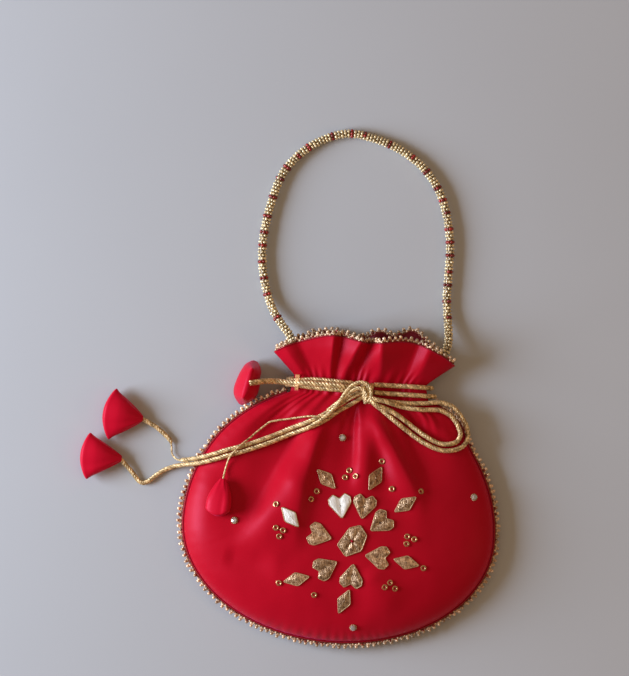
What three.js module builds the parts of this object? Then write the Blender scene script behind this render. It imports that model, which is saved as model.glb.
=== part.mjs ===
// A drawstring potli bag lying on its back: a gathered satin pouch with a frilled mouth,
// a beaded rope handle, a gold drawstring tied in a bow with four stuffed cloth tassels,
// lace along the seam and the mouth, and a flower of gold ribbon patches on the front.
// Millimetres, +Z up, +Y from the pouch to its mouth, origin on the flat of the back.
import * as THREE from "three";

// Cloth and the spaces between pieces
const CLOTH = 1;
const CONTACT_GAP = 0.3;
const FLOOR_GAP = 0.1;

// Pouch outline
const POUCH_HALF_WIDTH = 101.5;
const WIDEST_Y = -4.5;
const BOTTOM_DEPTH = 72.6;
const SHOULDER_HEIGHT = 97;
const NECK_HALF_WIDTH = 42.5;
const NECK_BAND = 11;
const CORNER_ANGLE = THREE.MathUtils.degToRad(-50);

// Frill and mouth
const FRILL_SIDE_RISE = 14;
const FRILL_RISE = 26.5;
const MOUTH_HALF_WIDTH = 59.4;
const MOUTH_DIP = 1.8;
const MOUTH_WAVE_CREST = 0.47;
const MOUTH_WAVE_LENGTH = 0.87;
const BACK_FRILL_EXTRA = 4;
const TOP_LEAN = 9.2;
const LEAN_FROM_Y = 50;
const LEAN_TO_Y = 125;
const SHOULDER_FULLNESS = 8;
const SHOULDER_Y = 76;
const SHOULDER_REACH = 14;

// Heights of the seam and how far the cloth stands off it
const SEAM_Z = 6;
const NECK_Z = 10.5;
const MOUTH_Z = 11;
const BELLY_RISE = 21;
const BACK_DROP = 20;
const NECK_RISE = 3.6;
const MOUTH_RISE = 10;
const MOUTH_DROP = 5.5;

// How full the cloth is, with places along the pouch as shares from its bottom to its neck
const SIDE_FULLNESS = 2.6;
const BOTTOM_FULLNESS = 2.4;
const ROUNDNESS = 0.6;
const FULL_FROM = 0.5;
const SEAM_RISES_FROM = 0.55;
const BACK_NARROWS_FROM = 0.6;
const BACK_GATHERS_FROM = 0.75;
const GATHERS_FROM = 0.6;
const GATHERS_DEEPEST = 0.9;
const PINCHED_FROM = 0.88;
const GATHER_UNEVENNESS = 0.05;

// Gathers at the neck, flutes of the frill and the long folds that fan out over the front
const FRONT_GATHERS = 6;
const BACK_GATHERS = 5;
const PINCHED_GATHER = 1.2;
const SHOULDER_GATHER = 2.4;
const FRONT_FLUTE = 5;
const BACK_FLUTE = 2;
const FOLD_WIDTH = 0.1;
const FOLD_FADE_BELOW = 0.12;
const FOLD_FADE_ABOVE = 0.2;
const FOLD_STARTS_AT = 0.82;
const FRONT_FOLDS = [
  { atNeck: -0.62, atEnd: -0.84, endsAt: 0.5, height: 1.6 },
  { atNeck: -0.24, atEnd: -0.64, endsAt: 0.33, height: 2.8 },
  { atNeck: -0.06, atEnd: -0.33, endsAt: 0.5, height: 2.2 },
  { atNeck: 0.06, atEnd: 0.1, endsAt: 0.56, height: 2 },
  { atNeck: 0.24, atEnd: 0.48, endsAt: 0.46, height: 2.4 },
  { atNeck: 0.58, atEnd: 0.78, endsAt: 0.5, height: 1.8 },
];

// Lace along the seam and the mouth
const LACE_RADIUS = 1.7;
const LACE_WAIST = 0.9;
const LACE_PITCH = 6;
const LACE_SIDES = 4;
const LACE_NECK_CLEARANCE = 0.14;
const FRONT_LACE_REACH = 0.92;
const BACK_LACE_REACH = 0.7;

// Beaded handle
const HANDLE_RADIUS = 3.1;
const HANDLE_WAIST = 2.5;
const HANDLE_BEAD_PITCH = 4.7;
const HANDLE_SIDES = 6;

// Drawstring
const CORD_DIAMETER = 3.5;
const CORD_SIDES = 8;
const CORD_STEP = 7;
const KNOT_HALF_WIDTH = 6.5;
const KNOT_HALF_HEIGHT = 4.2;
const KNOT_AT = [8.9, 86.9];

// Tassels
const TASSEL_LENGTH = 21;
const TASSEL_WIDTH = 31;
const TASSEL_THICKNESS = 12;
const LYING_TASSEL_LENGTH = 22;
const LYING_TASSEL_WIDTH = 33.5;
const LYING_TASSEL_BULGE = 2.6;
const SMALL_TASSEL_WIDTH = 20;
const SMALL_TASSEL_THICKNESS = 8;
const TASSEL_TIP = 2;
const TASSEL_SIDES = 12;
const TASSEL_PLUMPEST = 0.7;
const TASSEL_BASE_THINNING = 0.35;

// Ribbon flower, sequins and stones
const FLOWER_AT = [9.2, -10];
// Corners of the flower's centre, each as its distance from the middle and its angle in degrees
const CENTRE_CORNERS = [[10.8, -109], [8.7, -42], [10.3, 25], [11.6, 67], [8.8, 105], [9.9, -162]];
const HEART_LENGTH = 16;
const HEART_WIDTH = 14.4;
const HEART_NOTCH = 3;
const HEART_WIDEST_FROM = 0.12;
const HEART_WIDEST_TO = 0.34;
const HEART_LOBE = 0.55;
// Each petal's distance from the flower's middle, its angle, and its turn away from pointing outwards
const HEARTS_AT = [
  [21.1, 174, -6], [23.8, 113, -11], [23.5, 75, 9], [21.6, 37, 5], [19.3, -28, 25], [22.6, -86, -7],
  [23.8, -130, -18],
];
const DIAMOND_LENGTH = 17.6;
const DIAMOND_WIDTH = 9;
const DIAMONDS_AT = [
  [43.2, 163, -28], [43.7, 117, 21], [43.5, 74, -9], [42.1, 39, 0], [38, -17, 7], [39.8, -93, -17],
  [43.8, -141, -23],
];
const RIBBON = 0.9;
const PATCH_SAG = 0.15;
const SEQUIN_RADIUS = 1.9;
const SEQUIN_HOLE = 0.65;
const SEQUIN = 0.4;
const SEQUINS_AT = [
  [4, 35.4], [1.5, 30.7], [8.4, 32.2], [-16.3, 20.5], [-19.7, 15.2],
  [-40.8, -5], [-36, -6.3], [-38.2, -10.4], [32.5, 25.8], [44.6, -9],
  [44.7, -4.2], [49.4, -5.6], [35.8, -35], [32.6, -38.2], [39.3, -38.6],
  [-12.7, -46.8], [-41.8, 10.2], [24.7, 43.1], [51.1, 25.6], [56.8, -23.9], [-36.1, -40.8],
];
const STONE_RADIUS = 2.2;
const STONES_AT = [[-2.2, 56.2], [-68.2, -2.8], [86.3, 24.2], [14.4, -66.3]];

// How finely the cloth is divided
const BODY_ROWS = 11;
const BAND_ROWS = 1;
const FRILL_ROWS = 4;
const CLOTH_ROWS = BODY_ROWS + BAND_ROWS + FRILL_ROWS;
const FRONT_COLUMNS = 32;
const BACK_COLUMNS = 18;

// Materials
const finish = (color, roughness, metalness) =>
  new THREE.MeshStandardMaterial({ color, roughness, metalness });
const SATIN = () => finish(0xb40f23, 0.42, 0);
const TASSEL_SATIN = () => finish(0xbe0c22, 0.45, 0);
const GOLD_LACE = () => finish(0xd8a070, 0.4, 0.6);
const GOLD_BEADS = () => finish(0xc8a862, 0.3, 0.8);
const GOLD_CORD = () => finish(0xa8894a, 0.4, 0.6);
const GOTA_RIBBON = () => finish(0xc7b06a, 0.3, 0.9);
const SEQUIN_GOLD = () => finish(0xc99a62, 0.25, 0.9);
const GLASS_STONE = () => finish(0xdfe4ea, 0.08, 0.4);

const { lerp, smoothstep, degToRad } = THREE.MathUtils;

const UP = new THREE.Vector3(0, 0, 1);
const bag = new THREE.Group();

function addPiece(name, geometry, material) {
  const mesh = new THREE.Mesh(geometry, material);
  mesh.name = name;
  bag.add(mesh);
  return mesh;
}

// Plan of the pouch: half an ellipse below the widest line and part of a taller one above it
function pouchEdge(angle) {
  const rise = Math.sin(angle);
  const height = rise < 0 ? BOTTOM_DEPTH : SHOULDER_HEIGHT;
  return new THREE.Vector2(POUCH_HALF_WIDTH * Math.cos(angle), WIDEST_Y + height * rise);
}

const NECK_ANGLE = Math.acos(NECK_HALF_WIDTH / POUCH_HALF_WIDTH);
const NECK_Y = pouchEdge(NECK_ANGLE).y;
const FRILL_Y = NECK_Y + NECK_BAND;

// The top of the bag leans a little towards +X, and the shoulder on that side is the fuller one
function leaned(x, y) {
  const lean = TOP_LEAN * smoothstep(y, LEAN_FROM_Y, LEAN_TO_Y);
  const level = Math.exp(-(((y - SHOULDER_Y) / SHOULDER_REACH) ** 2));
  const fuller = SHOULDER_FULLNESS * level * smoothstep(x, 0, NECK_HALF_WIDTH);
  return new THREE.Vector2(x + lean + fuller, y);
}

function mouthEdge(across, extra) {
  const phase = (2 * Math.PI * (across - MOUTH_WAVE_CREST)) / MOUTH_WAVE_LENGTH;
  const wave = MOUTH_DIP * Math.cos(phase) * (1 - across ** 2);
  const rise = lerp(FRILL_RISE, FRILL_SIDE_RISE, across ** 4);
  return new THREE.Vector2(
    MOUTH_HALF_WIDTH * across,
    FRILL_Y + rise + wave + extra * (1 - across ** 6),
  );
}

// Point of the cloth in plan. across runs -1 to 1 between the side seams; along runs from 0 at
// the bottom to 1 at the neck, 2 at the top of the neck band and 3 at the mouth
function clothPlan(across, along, extra) {
  if (along <= 1) {
    const side = pouchEdge(lerp(CORNER_ANGLE, NECK_ANGLE, along));
    const bottom = pouchEdge(-Math.PI / 2 + across * (CORNER_ANGLE + Math.PI / 2));
    const corner = pouchEdge(CORNER_ANGLE);
    const x = across * side.x + (1 - along) * (bottom.x - across * corner.x);
    const y = side.y + (1 - along) * (bottom.y - corner.y);
    return leaned(x, y);
  }
  const neck = new THREE.Vector2(NECK_HALF_WIDTH * across, NECK_Y + NECK_BAND * Math.min(along - 1, 1));
  if (along > 2) neck.lerp(mouthEdge(across, extra), along - 2);
  return leaned(neck.x, neck.y);
}

function seamHeight(along) {
  if (along <= 1) return lerp(SEAM_Z, NECK_Z, smoothstep(along, SEAM_RISES_FROM, 1));
  return lerp(NECK_Z, MOUTH_Z, Math.max(along - 2, 0));
}

const swell = (across) => Math.max(1 - Math.abs(across) ** SIDE_FULLNESS, 0) ** ROUNDNESS;

const bellySwell = (along) => (1 - Math.max(1 - along / FULL_FROM, 0) ** BOTTOM_FULLNESS) ** ROUNDNESS;

function gathers(across, count) {
  const uneven = across + GATHER_UNEVENNESS * Math.sin(3 * Math.PI * across);
  return (0.5 - 0.5 * Math.cos(Math.PI * count * (uneven + 1))) * (1 - across ** 4);
}

function longFolds(across, along) {
  return FRONT_FOLDS.reduce((sum, fold) => {
    const done = (1 - along) / (1 - fold.endsAt);
    const ridge = lerp(fold.atNeck, fold.atEnd, done);
    const grown = smoothstep(along, fold.endsAt - FOLD_FADE_BELOW, fold.endsAt + FOLD_FADE_ABOVE);
    const fade = grown * (1 - smoothstep(along, FOLD_STARTS_AT, 1));
    return sum + fold.height * fade * Math.exp(-(((across - ridge) / FOLD_WIDTH) ** 2));
  }, 0);
}

// How far the inside of the front cloth stands above the seam
function frontRise(across, along) {
  const full = swell(across);
  if (along <= 1) {
    const gather = lerp(0, SHOULDER_GATHER, smoothstep(along, GATHERS_FROM, GATHERS_DEEPEST));
    const depth = lerp(gather, PINCHED_GATHER, smoothstep(along, PINCHED_FROM, 1));
    const belly = full * lerp(BELLY_RISE * bellySwell(along), NECK_RISE, smoothstep(along, FULL_FROM, 1));
    return belly + depth * gathers(across, FRONT_GATHERS) + full * longFolds(across, along);
  }
  const flared = Math.max(along - 2, 0);
  const flute = lerp(PINCHED_GATHER, FRONT_FLUTE, flared) * gathers(across, FRONT_GATHERS);
  return full * lerp(NECK_RISE, MOUTH_RISE, flared) + flute;
}

// How far the inside of the back cloth hangs below the seam
function backDrop(across, along) {
  const full = swell(across);
  if (along <= 1) {
    const gather = PINCHED_GATHER * smoothstep(along, BACK_GATHERS_FROM, 1) * gathers(across, BACK_GATHERS);
    const narrowed = smoothstep(along, BACK_NARROWS_FROM, 1);
    return full * lerp(BACK_DROP * bellySwell(along), NECK_RISE, narrowed) + gather;
  }
  const flared = Math.max(along - 2, 0);
  const flute = lerp(PINCHED_GATHER, BACK_FLUTE, flared) * gathers(across, BACK_GATHERS);
  return full * lerp(NECK_RISE, MOUTH_DROP, flared) + flute;
}

// Point through the cloth of one panel: through is 0 on its lower face and 1 on its upper face
function frontPoint(across, along, through) {
  const plan = clothPlan(across, along, 0);
  const z = seamHeight(along) + CONTACT_GAP / 2 + frontRise(across, along) + through * CLOTH;
  return new THREE.Vector3(plan.x, plan.y, z);
}

function backPoint(across, along, through) {
  const plan = clothPlan(across, along, BACK_FRILL_EXTRA);
  const under = seamHeight(along) - CONTACT_GAP / 2 - CLOTH - backDrop(across, along);
  return new THREE.Vector3(plan.x, plan.y, Math.max(under, 0) + through * CLOTH);
}

function rowAlong(row) {
  if (row <= BODY_ROWS) return row / BODY_ROWS;
  if (row <= BODY_ROWS + BAND_ROWS) return 1 + (row - BODY_ROWS) / BAND_ROWS;
  return 2 + (row - BODY_ROWS - BAND_ROWS) / FRILL_ROWS;
}

function clothPanel(columns, pointOf) {
  const sheet = new THREE.BoxGeometry(2, CLOTH_ROWS, 1, columns, CLOTH_ROWS, 1);
  const spots = sheet.attributes.position;
  for (let i = 0; i < spots.count; i += 1) {
    const along = rowAlong(Math.round(spots.getY(i) + CLOTH_ROWS / 2));
    const placed = pointOf(spots.getX(i), along, spots.getZ(i) + 0.5);
    spots.setXYZ(i, placed.x, placed.y, placed.z);
  }
  return sheet;
}

const frontPanel = addPiece("front_panel", clothPanel(FRONT_COLUMNS, frontPoint), SATIN());
addPiece("back_panel", clothPanel(BACK_COLUMNS, backPoint), SATIN());

// A straight turned rod, from 0 to its length on Y, is bent to follow a level curve
function bentAlong(rod, curve) {
  const length = curve.getLength();
  const spots = rod.attributes.position;
  for (let i = 0; i < spots.count; i += 1) {
    const share = THREE.MathUtils.clamp(spots.getY(i) / length, 0, 1);
    const forward = curve.getTangentAt(share);
    const sideways = new THREE.Vector3().crossVectors(forward, UP).normalize();
    const upwards = new THREE.Vector3().crossVectors(sideways, forward);
    const placed = curve.getPointAt(share);
    placed.addScaledVector(sideways, spots.getX(i));
    placed.addScaledVector(upwards, spots.getZ(i));
    spots.setXYZ(i, placed.x, placed.y, placed.z);
  }
  return rod;
}

// A row of beads of one pitch along a curve, each swelling from a waist
function beadedRope(curve, pitch, radius, waist, sides) {
  const length = curve.getLength();
  const count = Math.round(length / pitch);
  const step = length / count;
  const profile = [new THREE.Vector2(0, 0)];
  for (let bead = 0; bead < count; bead += 1) {
    profile.push(new THREE.Vector2(waist, bead * step));
    profile.push(new THREE.Vector2(radius, (bead + 0.5) * step));
  }
  profile.push(new THREE.Vector2(waist, length), new THREE.Vector2(0, length));
  return bentAlong(new THREE.LatheGeometry(profile, sides), curve);
}

const LACE_OFFSET = LACE_RADIUS + CONTACT_GAP;

// Lace sewn into the seam, from one shoulder round the bottom to the other
function seamLaceCurve() {
  const end = NECK_ANGLE - LACE_NECK_CLEARANCE;
  const stops = 90;
  const points = [];
  for (let i = 0; i <= stops; i += 1) {
    const angle = lerp(Math.PI - end, 2 * Math.PI + end, i / stops);
    const before = pouchEdge(angle - 0.01);
    const forward = pouchEdge(angle + 0.01).sub(before).normalize();
    const outward = forward.rotateAround(new THREE.Vector2(), -Math.PI / 2);
    const edge = pouchEdge(angle);
    const folded = Math.asin(Math.sin(angle));
    const along = Math.max((folded - CORNER_ANGLE) / (NECK_ANGLE - CORNER_ANGLE), 0);
    const plan = leaned(edge.x, edge.y).addScaledVector(outward, LACE_OFFSET);
    points.push(new THREE.Vector3(plan.x, plan.y, seamHeight(along)));
  }
  return new THREE.CatmullRomCurve3(points);
}

// Lace sewn along the mouth of one panel
function mouthLaceCurve(pointOf, reach) {
  const stops = 48;
  const points = [];
  for (let i = 0; i <= stops; i += 1) {
    const across = lerp(-reach, reach, i / stops);
    const edge = pointOf(across, 3, 0.5);
    const run = pointOf(across + 0.01, 3, 0.5).sub(pointOf(across - 0.01, 3, 0.5));
    const outward = new THREE.Vector3(-run.y, run.x, 0).normalize();
    points.push(edge.addScaledVector(outward, LACE_OFFSET));
  }
  return new THREE.CatmullRomCurve3(points);
}

const lace = (curve) => beadedRope(curve, LACE_PITCH, LACE_RADIUS, LACE_WAIST, LACE_SIDES);
addPiece("seam_lace", lace(seamLaceCurve()), GOLD_LACE());
addPiece("mouth_lace_front", lace(mouthLaceCurve(frontPoint, FRONT_LACE_REACH)), GOLD_LACE());
addPiece("mouth_lace_back", lace(mouthLaceCurve(backPoint, BACK_LACE_REACH)), GOLD_LACE());

// Beaded handle: its ends are tucked into the mouth between the panels, its arch lies flat. Its
// points are measured along Y from the foot of the frill
const HANDLE_END_Z = 11.1;
const HANDLE_REST = HANDLE_RADIUS + FLOOR_GAP;
const handleRoute = [
  [-37.5, 19.9, HANDLE_END_Z], [-41.2, 25, HANDLE_END_Z], [-46.6, 31.4, 8.6], [-52.4, 38.8, 5.6],
  [-56.9, 47.4, 3.6], [-61.6, 62.1, HANDLE_REST], [-64, 77.4, HANDLE_REST],
  [-63.6, 93.4, HANDLE_REST], [-60.6, 111.9, HANDLE_REST], [-54.6, 130.9, HANDLE_REST],
  [-44.6, 144.4, HANDLE_REST], [-30.4, 155, HANDLE_REST], [-13.2, 160.4, HANDLE_REST],
  [4, 158.2, HANDLE_REST], [22, 151.8, HANDLE_REST], [37, 141.7, HANDLE_REST],
  [48.4, 127.4, HANDLE_REST], [55, 110.4, HANDLE_REST], [58.4, 92.4, HANDLE_REST],
  [58.8, 73.4, HANDLE_REST], [59, 56.4, HANDLE_REST], [60.4, 45.4, 3.6], [61.6, 36.4, 5.9],
  [62, 29, 9.2], [60.8, 22.8, HANDLE_END_Z], [58.2, 17, HANDLE_END_Z],
];
const handleCurve = new THREE.CatmullRomCurve3(
  handleRoute.map(([x, y, z]) => new THREE.Vector3(x, FRILL_Y + y, z)),
);
addPiece(
  "handle",
  beadedRope(handleCurve, HANDLE_BEAD_PITCH, HANDLE_RADIUS, HANDLE_WAIST, HANDLE_SIDES),
  GOLD_BEADS(),
);

// Height of the front cloth under a point of the plan
const DOWN = new THREE.Vector3(0, 0, -1);
const ABOVE_ALL = 200;
const sounding = new THREE.Raycaster();
function frontTop(x, y) {
  sounding.set(new THREE.Vector3(x, y, ABOVE_ALL), DOWN);
  return sounding.intersectObject(frontPanel)[0];
}

// Drawstring: each strand is a round tube along a route of hand-set points
const cordSection = new THREE.Shape().absarc(0, 0, CORD_DIAMETER / 2, 0, 2 * Math.PI);
function cord(name, route) {
  const curve = new THREE.CatmullRomCurve3(route.map((p) => new THREE.Vector3(...p)));
  const tube = new THREE.ExtrudeGeometry(cordSection, {
    extrudePath: curve,
    steps: Math.ceil(curve.getLength() / CORD_STEP),
    curveSegments: CORD_SIDES / 2,
  });
  addPiece(name, tube, GOLD_CORD());
}

cord("neck_cord_upper", [
  [15.8, 92.4, 18.3], [24, 92.6, 18.1], [32, 92.8, 18.1], [40, 93, 17.2], [46, 93, 16.1],
  [51, 93, 13.8], [53.4, 93, 10.6], [52, 92.8, 7.4], [47, 92.6, 4.8], [38, 92.4, 3],
  [24, 92.3, 2.5], [5, 92.3, 2.4], [-14, 92.3, 2.5], [-26, 92.4, 3.2], [-34, 92.5, 4.9],
  [-39.2, 92.5, 7.4], [-40.8, 92.5, 10.4], [-38.8, 92.5, 13.6], [-33.4, 92.6, 16], [-27, 92.7, 17.2],
  [-19, 92.8, 17.9], [-9, 92.6, 18.1], [-2, 92.4, 18.6], [2, 92.4, 18.6],
]);
cord("neck_cord_lower", [
  [16.3, 87.4, 18.3], [24, 87.3, 18.1], [32, 87.4, 18.2], [40, 87.5, 17.4], [46.5, 87.6, 16.2],
  [52.8, 87.6, 14], [55.9, 87.6, 10.6], [53.6, 87.5, 7], [48, 87.3, 4.8], [38, 87.2, 3],
  [24, 87.2, 2.5], [5, 87.2, 2.4], [-14, 87.2, 2.5], [-26, 87.2, 3.2], [-34.4, 87.2, 4.9],
  [-40, 87.2, 7.2], [-41.9, 87.2, 10.4], [-39.6, 87.2, 13.9], [-34.4, 87.2, 16.4], [-27, 87.3, 17.4],
  [-19, 87.3, 18], [-9, 87.3, 18.2], [-3, 87.3, 18.6], [1.6, 87.3, 18.6],
]);
cord("bow_loop_outer", [
  [15.8, 83.3, 19.4], [27, 82.2, 18.6], [39, 82, 17.6], [51, 83, 15.6], [60, 84.2, 14.2],
  [68, 82, 13.2], [74.6, 75.4, 12.4], [78.6, 68.6, 12.4], [79.4, 62.2, 13], [76.4, 56.6, 15.4],
  [69.6, 53.6, 18.6], [61.4, 53.4, 21.2], [50, 57.6, 22], [39, 64.3, 21.5], [29.4, 71, 19.8],
  [21.6, 76.6, 19.1], [17, 79.6, 19.3],
]);
cord("bow_loop_inner", [
  [15.8, 83.4, 23.4], [24, 82, 22.7], [36, 79.2, 20.2], [49, 78.6, 17.8], [60, 79, 15.8],
  [67.6, 75.6, 15], [72.2, 70, 14.6], [74.4, 64.4, 14.6], [72.6, 59.8, 16], [67.4, 57.6, 18.4],
  [61, 57.6, 20], [51.6, 61.6, 21], [41, 68.2, 21.2], [31.4, 74.4, 20.6], [24, 77.6, 22.2],
  [18, 79.4, 23.2],
]);
cord("tail_a", [
  [1.5, 84.2, 20.5], [-6, 79, 20.6], [-14, 72.4, 21], [-24, 67.4, 22], [-38, 65.4, 21.6],
  [-50, 62.4, 20.6], [-57.5, 57.8, 20.7], [-64, 51.6, 21], [-71, 47, 20], [-80, 43.2, 17.2],
  [-88, 40, 13.2], [-95, 37.4, 10.4], [-101, 36, 6.6], [-106.5, 36, 3.2], [-111, 38.5, 1.9],
  [-113.4, 43, 1.9], [-117, 47.8, 2.2], [-125, 53.8, 3.3], [-132.4, 57.9, 4.7],
]);
cord("tail_b", [
  [3, 79.6, 20.2], [-6, 73.6, 21.4], [-14.5, 66.8, 21.9], [-25.5, 60.8, 23.1], [-35, 56.4, 23.1],
  [-45.5, 51.1, 23.2], [-55.5, 46.6, 22.6], [-65, 42.8, 22.2], [-75, 39.2, 20.2], [-84, 35.8, 17.3],
  [-91, 33.4, 13.8], [-97.5, 31.6, 10.6], [-104, 30.4, 5.9], [-110, 29.2, 2.7], [-117, 26.5, 1.9],
  [-122.8, 22.6, 1.9], [-128.2, 20, 1.9], [-134, 21.6, 2], [-138.8, 25.8, 3.1], [-143.8, 30.2, 4.6],
]);
cord("tail_c", [
  [-42.4, 88.9, 10.6], [-47.5, 89.6, 12], [-52, 89.4, 14.6], [-57, 88.8, 17.8], [-62.2, 87.8, 20.6],
]);
cord("tail_d", [
  [7.6, 78, 20.2], [-1, 71.4, 22.4], [-11, 63.6, 23.9], [-23, 56.8, 24.1], [-34, 52, 24.6],
  [-45, 46.6, 24.2], [-55, 42.2, 23.2], [-64, 38.4, 22.8], [-71, 35.4, 22.1], [-75.8, 31.2, 21.6],
  [-77.4, 26.4, 22],
]);

// Bow knot: a rounded lump on the front of the neck
const KNOT_SQUARENESS = 0.75;
const knotLump = new THREE.SphereGeometry(1, 12, 8).rotateX(Math.PI / 2);
const squared = (value) => Math.sign(value) * Math.abs(value) ** KNOT_SQUARENESS;
const knotSpots = knotLump.attributes.position;
for (let i = 0; i < knotSpots.count; i += 1) {
  knotSpots.setXYZ(
    i,
    KNOT_HALF_WIDTH * squared(knotSpots.getX(i)),
    KNOT_HALF_WIDTH * squared(knotSpots.getY(i)),
    KNOT_HALF_HEIGHT * squared(knotSpots.getZ(i)),
  );
}
const knot = addPiece("bow_knot", knotLump, GOLD_CORD());
const NECK_TOP = NECK_Z + CONTACT_GAP / 2 + NECK_RISE + PINCHED_GATHER + CLOTH;
knot.position.set(...KNOT_AT, NECK_TOP + CONTACT_GAP + KNOT_HALF_HEIGHT);

// Stuffed tassel: a cloth cone that flattens and widens from its tip, on +X, to a bulging base
function tasselGeometry(length, width, thickness, bulge) {
  const profile = [[0, 0], [1, 0], [1, 0.3], [1, 0.6], [1, 0.85], [0.85, 1], [0, 1.07]];
  const cone = new THREE.LatheGeometry(profile.map((p) => new THREE.Vector2(...p)), TASSEL_SIDES);
  const spots = cone.attributes.position;
  for (let i = 0; i < spots.count; i += 1) {
    const share = spots.getY(i);
    const plump = Math.sin((Math.PI / 2) * Math.min(share / TASSEL_PLUMPEST, 1));
    const fill = plump * (1 - TASSEL_BASE_THINNING * smoothstep(share, TASSEL_PLUMPEST, 1));
    const halfWidth = lerp(TASSEL_TIP, width / 2, Math.min(share, 1));
    const halfThickness = lerp(TASSEL_TIP, thickness / 2, fill);
    const across = spots.getX(i);
    const outward = bulge * smoothstep(share, TASSEL_PLUMPEST, 1) * (1 - across ** 2);
    spots.setXYZ(i, share * length + outward, -across * halfWidth, spots.getZ(i) * halfThickness);
  }
  return cone;
}

// The tip lies at a point, and the tassel is turned, dipped and rolled from there, in degrees
function tassel(name, tip, [turn, dip, roll], length, width, thickness, bulge = 0) {
  const mesh = addPiece(name, tasselGeometry(length, width, thickness, bulge), TASSEL_SATIN());
  mesh.position.set(...tip);
  mesh.rotation.set(degToRad(roll), degToRad(dip), degToRad(turn), "ZYX");
}

const LYING = [LYING_TASSEL_LENGTH, LYING_TASSEL_WIDTH, TASSEL_THICKNESS, LYING_TASSEL_BULGE];
const STANDING = [TASSEL_LENGTH, TASSEL_WIDTH, TASSEL_THICKNESS];
const SMALL = [TASSEL_LENGTH, SMALL_TASSEL_WIDTH, SMALL_TASSEL_THICKNESS];
tassel("tassel_a", [-133.4, 58.2, 4.8], [175, -5, 0], ...LYING);
tassel("tassel_b", [-145.2, 31, 4.8], [179.5, -5, 0], ...LYING);
tassel("tassel_c", [-66.5, 87, 22.6], [-13.3, 90, 0], ...STANDING);
tassel("tassel_d", [-77.6, 23.6, 23.3], [-93, -9, 15.5], ...SMALL);

// A thin ribbon patch laid on the front cloth so that it follows it, from the corners of its edge
// about its own middle, anticlockwise
const PATCH_GAP = CONTACT_GAP + PATCH_SAG;
function draped(name, corners, x, y, angle) {
  const edge = corners.flatMap((corner, i) => {
    const next = corners[(i + 1) % corners.length];
    return [corner, corner.clone().lerp(next, 0.5)];
  });
  const profile = [[0, 0], [0.5, 0], [1, 0], [1, RIBBON], [0.5, RIBBON], [0, RIBBON]];
  const patch = new THREE.LatheGeometry(profile.map((p) => new THREE.Vector2(...p)), edge.length);
  const spots = patch.attributes.position;
  for (let i = 0; i < spots.count; i += 1) {
    const [reach, rise] = profile[i % profile.length];
    const spot = edge[Math.floor(i / profile.length) % edge.length].clone().multiplyScalar(reach);
    spot.rotateAround(new THREE.Vector2(), angle).add(new THREE.Vector2(x, y));
    const under = frontTop(spot.x, spot.y).point.z;
    spots.setXYZ(i, spot.x, spot.y, under + PATCH_GAP + rise);
  }
  addPiece(name, patch, GOTA_RIBBON());
}

const cornersAt = (points) => points.map((point) => new THREE.Vector2(...point));

// Heart of two folded strips of ribbon, with its tip on -Y
function heartCorners() {
  const half = HEART_WIDTH / 2;
  const top = HEART_LENGTH / 2;
  const right = [
    [half, HEART_WIDEST_FROM * HEART_LENGTH],
    [half, HEART_WIDEST_TO * HEART_LENGTH],
    [HEART_LOBE * half, top],
  ];
  const left = right.map(([x, y]) => [-x, y]).reverse();
  return cornersAt([[0, -top], ...right, [0, top - HEART_NOTCH], ...left]);
}

function diamondCorners() {
  const half = DIAMOND_WIDTH / 2;
  const top = DIAMOND_LENGTH / 2;
  return cornersAt([[0, -top], [half, 0], [0, top], [-half, 0]]);
}

function centreCorners() {
  return CENTRE_CORNERS.map(([reach, degrees]) => {
    return new THREE.Vector2(reach, 0).rotateAround(new THREE.Vector2(), degToRad(degrees));
  });
}

// A ring of patches of one kind round the flower's middle, each with its +Y outwards but for its turn
function petals(name, corners, places) {
  places.forEach(([ring, degrees, turn], i) => {
    const angle = degToRad(degrees);
    const x = FLOWER_AT[0] + ring * Math.cos(angle);
    const y = FLOWER_AT[1] + ring * Math.sin(angle);
    draped(`${name}_${i + 1}`, corners, x, y, angle + degToRad(turn) - Math.PI / 2);
  });
}

bag.updateMatrixWorld(true);
draped("flower_centre", centreCorners(), ...FLOWER_AT, 0);
petals("heart", heartCorners(), HEARTS_AT);
petals("diamond", diamondCorners(), DIAMONDS_AT);

// A small piece, made about +Z, is set on the front cloth square to it
function seated(name, geometry, [x, y], material) {
  const seat = frontTop(x, y);
  const piece = addPiece(name, geometry, material);
  piece.quaternion.setFromUnitVectors(UP, seat.face.normal);
  piece.position.copy(seat.point).addScaledVector(seat.face.normal, CONTACT_GAP);
}

function sequinGeometry() {
  const ring = new THREE.Shape().absarc(0, 0, SEQUIN_RADIUS, 0, 2 * Math.PI);
  ring.holes.push(new THREE.Path().absarc(0, 0, SEQUIN_HOLE, 0, 2 * Math.PI));
  return new THREE.ExtrudeGeometry(ring, { depth: SEQUIN, bevelEnabled: false, curveSegments: 3 });
}

function stoneGeometry() {
  const dome = [[0, 0], [1, 0], [0.85, 0.45], [0.5, 0.72], [0, 0.8]];
  const profile = dome.map(([r, h]) => new THREE.Vector2(r * STONE_RADIUS, h * STONE_RADIUS));
  return new THREE.LatheGeometry(profile, 8).rotateX(Math.PI / 2);
}

SEQUINS_AT.forEach((spot, i) => {
  seated(`sequin_${String(i + 1).padStart(2, "0")}`, sequinGeometry(), spot, SEQUIN_GOLD());
});
STONES_AT.forEach((spot, i) => seated(`stone_${i + 1}`, stoneGeometry(), spot, GLASS_STONE()));

export default bag;
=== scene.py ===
import math
import random

import bpy
import numpy as np
from mathutils import Euler, Matrix, Vector, noise
from mathutils.bvhtree import BVHTree


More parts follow.
